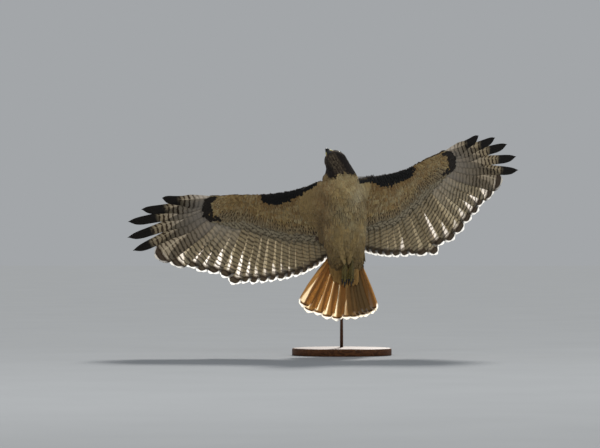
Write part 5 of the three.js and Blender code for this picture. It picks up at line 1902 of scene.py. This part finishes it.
def eyelid(side, centre, gaze):
    """A thin ring of skin round the front of the eye, longer from front to back."""
    up = unit(np.cross(gaze, HEAD[3]))
    ahead = unit(np.cross(up, gaze))
    points = []
    for j in range(LID_STEPS):
        turn = 2 * math.pi * j / LID_STEPS
        out = ahead * math.cos(turn) + up * math.sin(turn)
        middle = centre + gaze * LID_AHEAD + out * (LID_RADIUS + 0.5 * math.cos(turn) ** 2)
        points += [middle + out * LID_THICK * math.cos(q) + gaze * LID_THICK * math.sin(q)
                   for q in np.linspace(0, 2 * math.pi, LID_SIDES, endpoint=False)]
    faces = []
    for i in range(LID_STEPS):
        here, ahead_row = i * LID_SIDES, (i + 1) % LID_STEPS * LID_SIDES
        for j in range(LID_SIDES):
            k = (j + 1) % LID_SIDES
            faces.append((here + j, here + k, ahead_row + k, ahead_row + j))
    return make_piece(f"eyelid_{side}", points, faces, LID_SKIN)


eyes, lids = [], []
for s, side in SIDES:
    centre = EYE_CENTRES[side]
    gaze = unit(HEAD[1] * s + HEAD[3] * 0.42 + HEAD[2] * 0.08)
    material = eye_material(side, centre + gaze * EYE_RADIUS)
    eye = small_ball(f"glass_eye_{side}", centre, (EYE_RADIUS,) * 3, material, 32, 20)
    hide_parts(f"eye_{side}")
    eyes.append(eye)
    lids.append(eyelid(side, centre, gaze))
print("eye faces:", len(eyes[0].data.polygons))

# %% Brows and their feathers
def brow_rows(s):
    return ((-9, 1, 1, 1, s * 24.4, -15.6), (2, 2.8, 2.2, 2.4, s * 26.4, -16.6),
            (13, 3.3, 2.5, 2.7, s * 25.4, -16.2), (22, 2.8, 2.2, 2.2, s * 20.4, -13.2),
            (29, 1.4, 1.4, 1.4, s * 15, -10))


def brow_keep(point, n):
    axis_point = at(HEAD, 0, 0, float(inside(HEAD, point)[2]))
    return clear_of_eyes(point, 1.6) and float(n @ unit(point - axis_point)) > -0.3


def brow_marks(point, normal):
    tone = mix(HOOD, CROWN, rng.uniform(0.5, 1)) * rng.uniform(0.87, 1.13)
    return tone, (0.2 * rng.uniform(), 0.0, 0.12)


brows, brow_coats = [], []
for s, side in SIDES:
    brow = rings_of(HEAD, brow_rows(s), 22, 22)
    brows.append(several_tubes(f"brow_{side}", [brow], LID_SKIN))
    table = clothe(
        brow, lambda share: (2.5, 5.2, 1.2), brow_keep, brow_marks,
        lambda a, b, s=s: (0.9 + 0.04 * s + 0.03 * a, 0.7 + 0.1 * b), math.radians(8))
    brow_coats.append(grow_coat(f"brow_feathers_{side}", table, 13 + s, small_shapes))

# %% [markdown]
# ## Feet and claws
# The bare foot is covered in hard overlapping scales, and its skin is yellow, painted here a
# dark olive for the shade it lies in. The toes are closed under the tail, and each ends in a
# curved black claw.

# %% Foot skin and claw horn
SCALE_MM = 2.381  # the scales of the foot


def foot_skin_material():
    material, tree, shader = new_material("scaled foot skin", 0.5)
    place = add_node(tree, "TexCoord", out="Object")
    cells = add_node(tree, "TexVoronoi", {"Vector": place, "Scale": scale_of(SCALE_MM)}, feature="F1")
    creases = add_node(tree, "MapRange", [cells, 0.42, 0.72], **EASED)
    # the yellow skin is darkened to olive: painted shade
    colour = add_node(
        tree, "Mix", {0: creases, 6: paint("#6F6128"), 7: paint("#3A3016")}, **COLOUR_MIX)
    bump = add_node(tree, "Bump", {"Strength": 0.5, "Distance": 0.0006, "Height": cells})
    link_sockets(tree, shader, base_color=colour, normal=bump)
    return material


FOOT_SKIN = foot_skin_material()
CLAW_HORN = horn("black claw horn", "#1B1918", "#0C0B0B", 0.25, at(BODY, 8, 28, -190), 40)
print("scales of the foot, mm:", SCALE_MM)

# %% Toes and talons
TOES = {  # where the toe starts and ends beside the foot's middle, its length, radius and claw
    "inner": ((-4, 0), (-6.5, 2), 36, 4.5, 29), "middle": ((0, 2), (0, 5), 44, 4.5, 25),
    "outer": ((4, 0), (6.5, 1), 37, 4.1, 21), "back": ((0, -4), (1, -5), 30, 4.7, 31)}
TOE_START, TOE_DEPTH, TOE_DROP, FOOT_SHIFT = -155.0, 31, 9.0, 8.0


def shank_rows(s, foot_across):
    return ((-122.6, 5, 5, 4.5, s * 11 + 3, 38.5), (-136, 4.6, 4.6, 4, foot_across, 36),
            (-148, 5.4, 5, 4.5, foot_across, 33), (-156, 7, 6, 5, foot_across, 31))


def toe_rows(foot_across, start, end, reach, thick):
    """A toe swells at each of its pads and thins towards the claw."""
    rows = []
    for t in np.arange(13) / 12:
        pad = thick * (1.0 + 0.09 * math.cos(t * 4 * math.pi)) * mix(1, 0.8, t)
        rows.append((TOE_START - reach * t, pad, pad, pad, foot_across + mix(start[0], end[0], t),
                     TOE_DEPTH + mix(start[1], end[1], t) - TOE_DROP * t))
    return rows


def claw_rows(foot_across, end, reach, thick, claw):
    """A claw curves down and thins to its point."""
    rows = []
    for t in np.arange(12) / 11:
        pad = thick * 0.85 * (1 - t) ** 0.8 + 0.25
        rows.append((
            TOE_START - reach - 0.3 - claw * math.sin(t * 1.25) * 0.85, pad * 0.8, pad, pad,
            foot_across + end[0], TOE_DEPTH + end[1] - TOE_DROP - claw * 0.32 * t * t))
    return rows


foot_pieces, claw_pieces = [], []
for s, side in SIDES:
    foot_across = FOOT_SHIFT + s * 10
    tubes = [rings_of(BODY, shank_rows(s, foot_across), 20, 20)]
    for title, (start, end, reach, thick, claw) in TOES.items():
        tubes.append(rings_of(BODY, toe_rows(foot_across, start, end, reach, thick), 26, 16))
        talon = rings_of(BODY, claw_rows(foot_across, end, reach, thick, claw), 16, 14)
        piece = several_tubes(f"talon_{side}_{title}", [talon], CLAW_HORN)
        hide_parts(f"claw_{side}_{title}")
        claw_pieces.append(piece)
    foot = several_tubes(f"scaled_foot_{side}", tubes, FOOT_SKIN)
    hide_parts(f"foot_{side}")
    foot_pieces.append(foot)
print("toes:", len(claw_pieces))

# %% [markdown]
# ## Stand
# A turned walnut disc and a bent steel rod carry the bird. Varnish gives the wood a satin
# coat over a grain of long rings, and the rod is brushed along its length.

# %% Stand materials
FIGURE_MM = (200.0, 22.22, 22.22)  # the wood's figure, along the grain and across it
PORES_MM = (27.78, 1.282, 1.282)
RING_TURNS = 60.0  # how many growth rings the figure holds, in radians
BRUSH_MM = (0.5556, 0.5556, 41.67)  # brush lines are 0.05 mm wide, which is too fine to show


def walnut():
    material, tree, shader = new_material(
        "satin varnished walnut", 0.6, coat_weight=0.03, coat_roughness=0.4, specular_ior_level=0.12)
    place = add_node(tree, "TexCoord", out="Object")
    stretched, fine = (
        add_node(tree, "Mapping", {0: place, "Scale": tuple(scale_of(mm) for mm in sizes_mm)})
        for sizes_mm in (FIGURE_MM, PORES_MM))
    figure = add_node(
        tree, "TexNoise", {"Vector": stretched, "Scale": 1.0, "Detail": 5.0, "Distortion": 0.6})
    turns = add_node(tree, "Math", [figure, RING_TURNS], operation="MULTIPLY")
    rings = add_node(tree, "Math", [turns], operation="SINE")
    pores = add_node(tree, "TexNoise", {"Vector": fine, "Scale": 1.0})
    grain = add_node(tree, "MapRange", [rings, -1.0, 1.0, 0.15, 0.85])
    holes = add_node(tree, "MapRange", [pores, 0.6, 0.75, 0.0, 0.6])
    colour = add_node(
        tree, "Mix", {0: grain, 6: paint("#3A2417"), 7: paint("#6B4429")}, **COLOUR_MIX)
    colour = add_node(tree, "Mix", {0: holes, 6: colour, 7: paint("#20130B")}, **COLOUR_MIX)
    bump = add_node(tree, "Bump", {"Strength": 0.1, "Distance": 0.0002, "Height": pores})
    link_sockets(tree, shader, base_color=colour, normal=bump)
    return material


def brushed_steel():
    material, tree, shader = new_material("brushed stainless steel", 0.3, metallic=1.0)
    place = add_node(tree, "TexCoord", out="Object")
    stretched = add_node(
        tree, "Mapping", {0: place, "Scale": tuple(scale_of(mm) for mm in BRUSH_MM)})
    lines = add_node(tree, "TexNoise", {"Vector": stretched, "Scale": 1.0})
    rough = add_node(tree, "MapRange", [lines, 0.2, 0.8, 0.22, 0.42])
    colour = add_node(
        tree, "Mix", {0: lines, 6: paint("#8E9093"), 7: paint("#B9BBBD")}, **COLOUR_MIX)
    link_sockets(tree, shader, base_color=colour, roughness=rough)
    return material


WALNUT, STEEL = walnut(), brushed_steel()
print("stand:", WALNUT.name, "and", STEEL.name)

# %% Base
BASE_RADIUS, BASE_HEIGHT, EDGE_ROUND = 150.0, 22.0, 5
profile = [(0.02, 0), (BASE_RADIUS - 1, 0), (BASE_RADIUS, 1), (BASE_RADIUS, BASE_HEIGHT - 6)]
profile += [(BASE_RADIUS - EDGE_ROUND + EDGE_ROUND * math.cos(a),
             BASE_HEIGHT - 5.5 + EDGE_ROUND * math.sin(a)) for a in np.linspace(0.1, 1.4, 7)]
profile += [(BASE_RADIUS - 7, BASE_HEIGHT - 0.3), (0.02, BASE_HEIGHT - 0.3)]
turn = np.linspace(0, 2 * math.pi, 128, endpoint=False)
base_rings = np.array([[(r * math.cos(a), r * math.sin(a), z) for a in turn] for r, z in profile])
stand_base = several_tubes("turned_base", [base_rings], WALNUT)
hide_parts("stand_base")
print("base rings:", len(profile))

# %% Rod
ROD_RADIUS, ROD_BEHIND, ROD_BEND = 5.0, 74.0, 60.0
BACK_HEIGHT = POSE_LEVEL + 25

def rod_ring(y, z, lean):
    around = np.linspace(0, 2 * math.pi, 24, endpoint=False)
    return np.stack([ROD_RADIUS * np.cos(around), y + ROD_RADIUS * np.sin(around) * math.cos(lean),
                     z + ROD_RADIUS * np.sin(around) * math.sin(lean)], 1)


rod_rings = [rod_ring(ROD_BEHIND, BASE_HEIGHT - 0.2, 0)]
for lean in np.linspace(0, math.pi / 2, 17):
    rod_rings.append(rod_ring(
        ROD_BEHIND - ROD_BEND * (1 - math.cos(lean)), BACK_HEIGHT - ROD_BEND * (1 - math.sin(lean)), lean))
rod_rings.append(rod_ring(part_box("stand_rod")[0].y / MM, BACK_HEIGHT, math.pi / 2))
stand_rod = several_tubes("steel_rod", [np.array(rod_rings)], STEEL)
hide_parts("stand_rod")
print("rod rings:", len(rod_rings))

# %% [markdown]
# ## The studio
# The floor is a wide sheet of pale paper, and the air round it has the same brightness, so that
# no edge shows behind the bird from any side. Soft lights stand in front, and a low strong
# light behind lets the vanes glow as they do against the sky.

# %% Floor
FLOOR_RADIUS, FLOOR_DROP, FLOOR_CORNERS = 26000.0, -0.2, 96
PAPER_MM = 333.3  # slow clouds of tone, as the fibres are too fine to show


def paper_material():
    material, tree, shader = new_material("matt studio paper", 0.9, specular_ior_level=0.0)
    place = add_node(tree, "TexCoord", out="Object")
    fibre = add_node(tree, "TexNoise", {"Vector": place, "Scale": scale_of(PAPER_MM), "Detail": 4.0})
    colour = add_node(
        tree, "Mix", {0: fibre, 6: paint("#9FA2A5"), 7: paint("#A6A9AC")}, **COLOUR_MIX)
    link_sockets(tree, shader, base_color=colour)
    return material


round_floor = np.linspace(0, 2 * math.pi, FLOOR_CORNERS, endpoint=False)
points = [(FLOOR_RADIUS * math.cos(a), FLOOR_RADIUS * math.sin(a), FLOOR_DROP) for a in round_floor]
floor = make_piece("studio_floor", points, [tuple(range(FLOOR_CORNERS))], paper_material())
print("floor radius, m:", FLOOR_RADIUS * MM)

# %% Lights
def facing(way):
    """The turn that points a light or a camera along a direction."""
    return way.to_track_quat("-Z", "Y").to_euler()


def soft_light(name, place, target, size, watts):
    light = bpy.data.lights.new(name, "AREA")
    light.shape = "DISK"
    light.size = size
    light.energy = watts
    lamp = new_object(name, light)
    lamp.location = place
    lamp.rotation_euler = facing(Vector(target) - Vector(place))


soft_light("front_light", (-1.8, -3.6, 2.4), (0, 0, 0.4), 2.4, 21)
soft_light("side_light", (3.2, -2.2, 1.5), (0, 0, 0.4), 1.6, 22)
BACK_TILT, BACK_STRENGTH = math.radians(30), 4.0
back_data = bpy.data.lights.new("back_light", "SUN")
back_data.energy = BACK_STRENGTH
back_data.angle = math.radians(8)
back_data.color = (1.0, 0.97, 0.92)
back_light = new_object("back_light", back_data)
back_light.rotation_euler = facing(
    Vector((-0.12, -math.cos(BACK_TILT), -math.sin(BACK_TILT))))

# %% Air of the studio
world = bpy.data.worlds.new("studio_air")
world.use_nodes = True
world.node_tree.nodes["Background"].inputs["Color"].default_value = paint("#A3A6A9")
world.node_tree.nodes["Background"].inputs["Strength"].default_value = 1.0
bpy.context.scene.world = world
bpy.context.scene.view_settings.view_transform = "Standard"
print("lights:", len(bpy.data.lights))

# %% [markdown]
# ## Hand over to the frame
# Everything rides on the model's one body, and a table lists the pieces by the finish they
# take. The shapes that the coat was made from aren't part of the bird, so they go.

# %% Ride and slots
for shape in large_shapes + small_shapes:
    bpy.data.objects.remove(shape)

slots = {
    "flight_feathers": flight_pieces,
    "tail_feathers": (tail_piece, tail_coverts),
    "body_feathers": (skin, breast_coat, back_coat, *thigh_coats, *bridge_coats, *shoulder_coats),
    "head_feathers": (head_coat, *lids, *brows, *brow_coats),
    "bill": (bill_upper, bill_lower, cere, gape, *nostrils),
    "eye": eyes,
    "foot_skin": foot_pieces,
    "claw": claw_pieces,
    "stand_wood": (stand_base,),
    "stand_steel": (stand_rod,),
}
for slot, pieces in slots.items():
    for piece in pieces:
        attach(piece, "root")
    print(slot, "faces:", sum(len(piece.data.polygons) for piece in pieces))
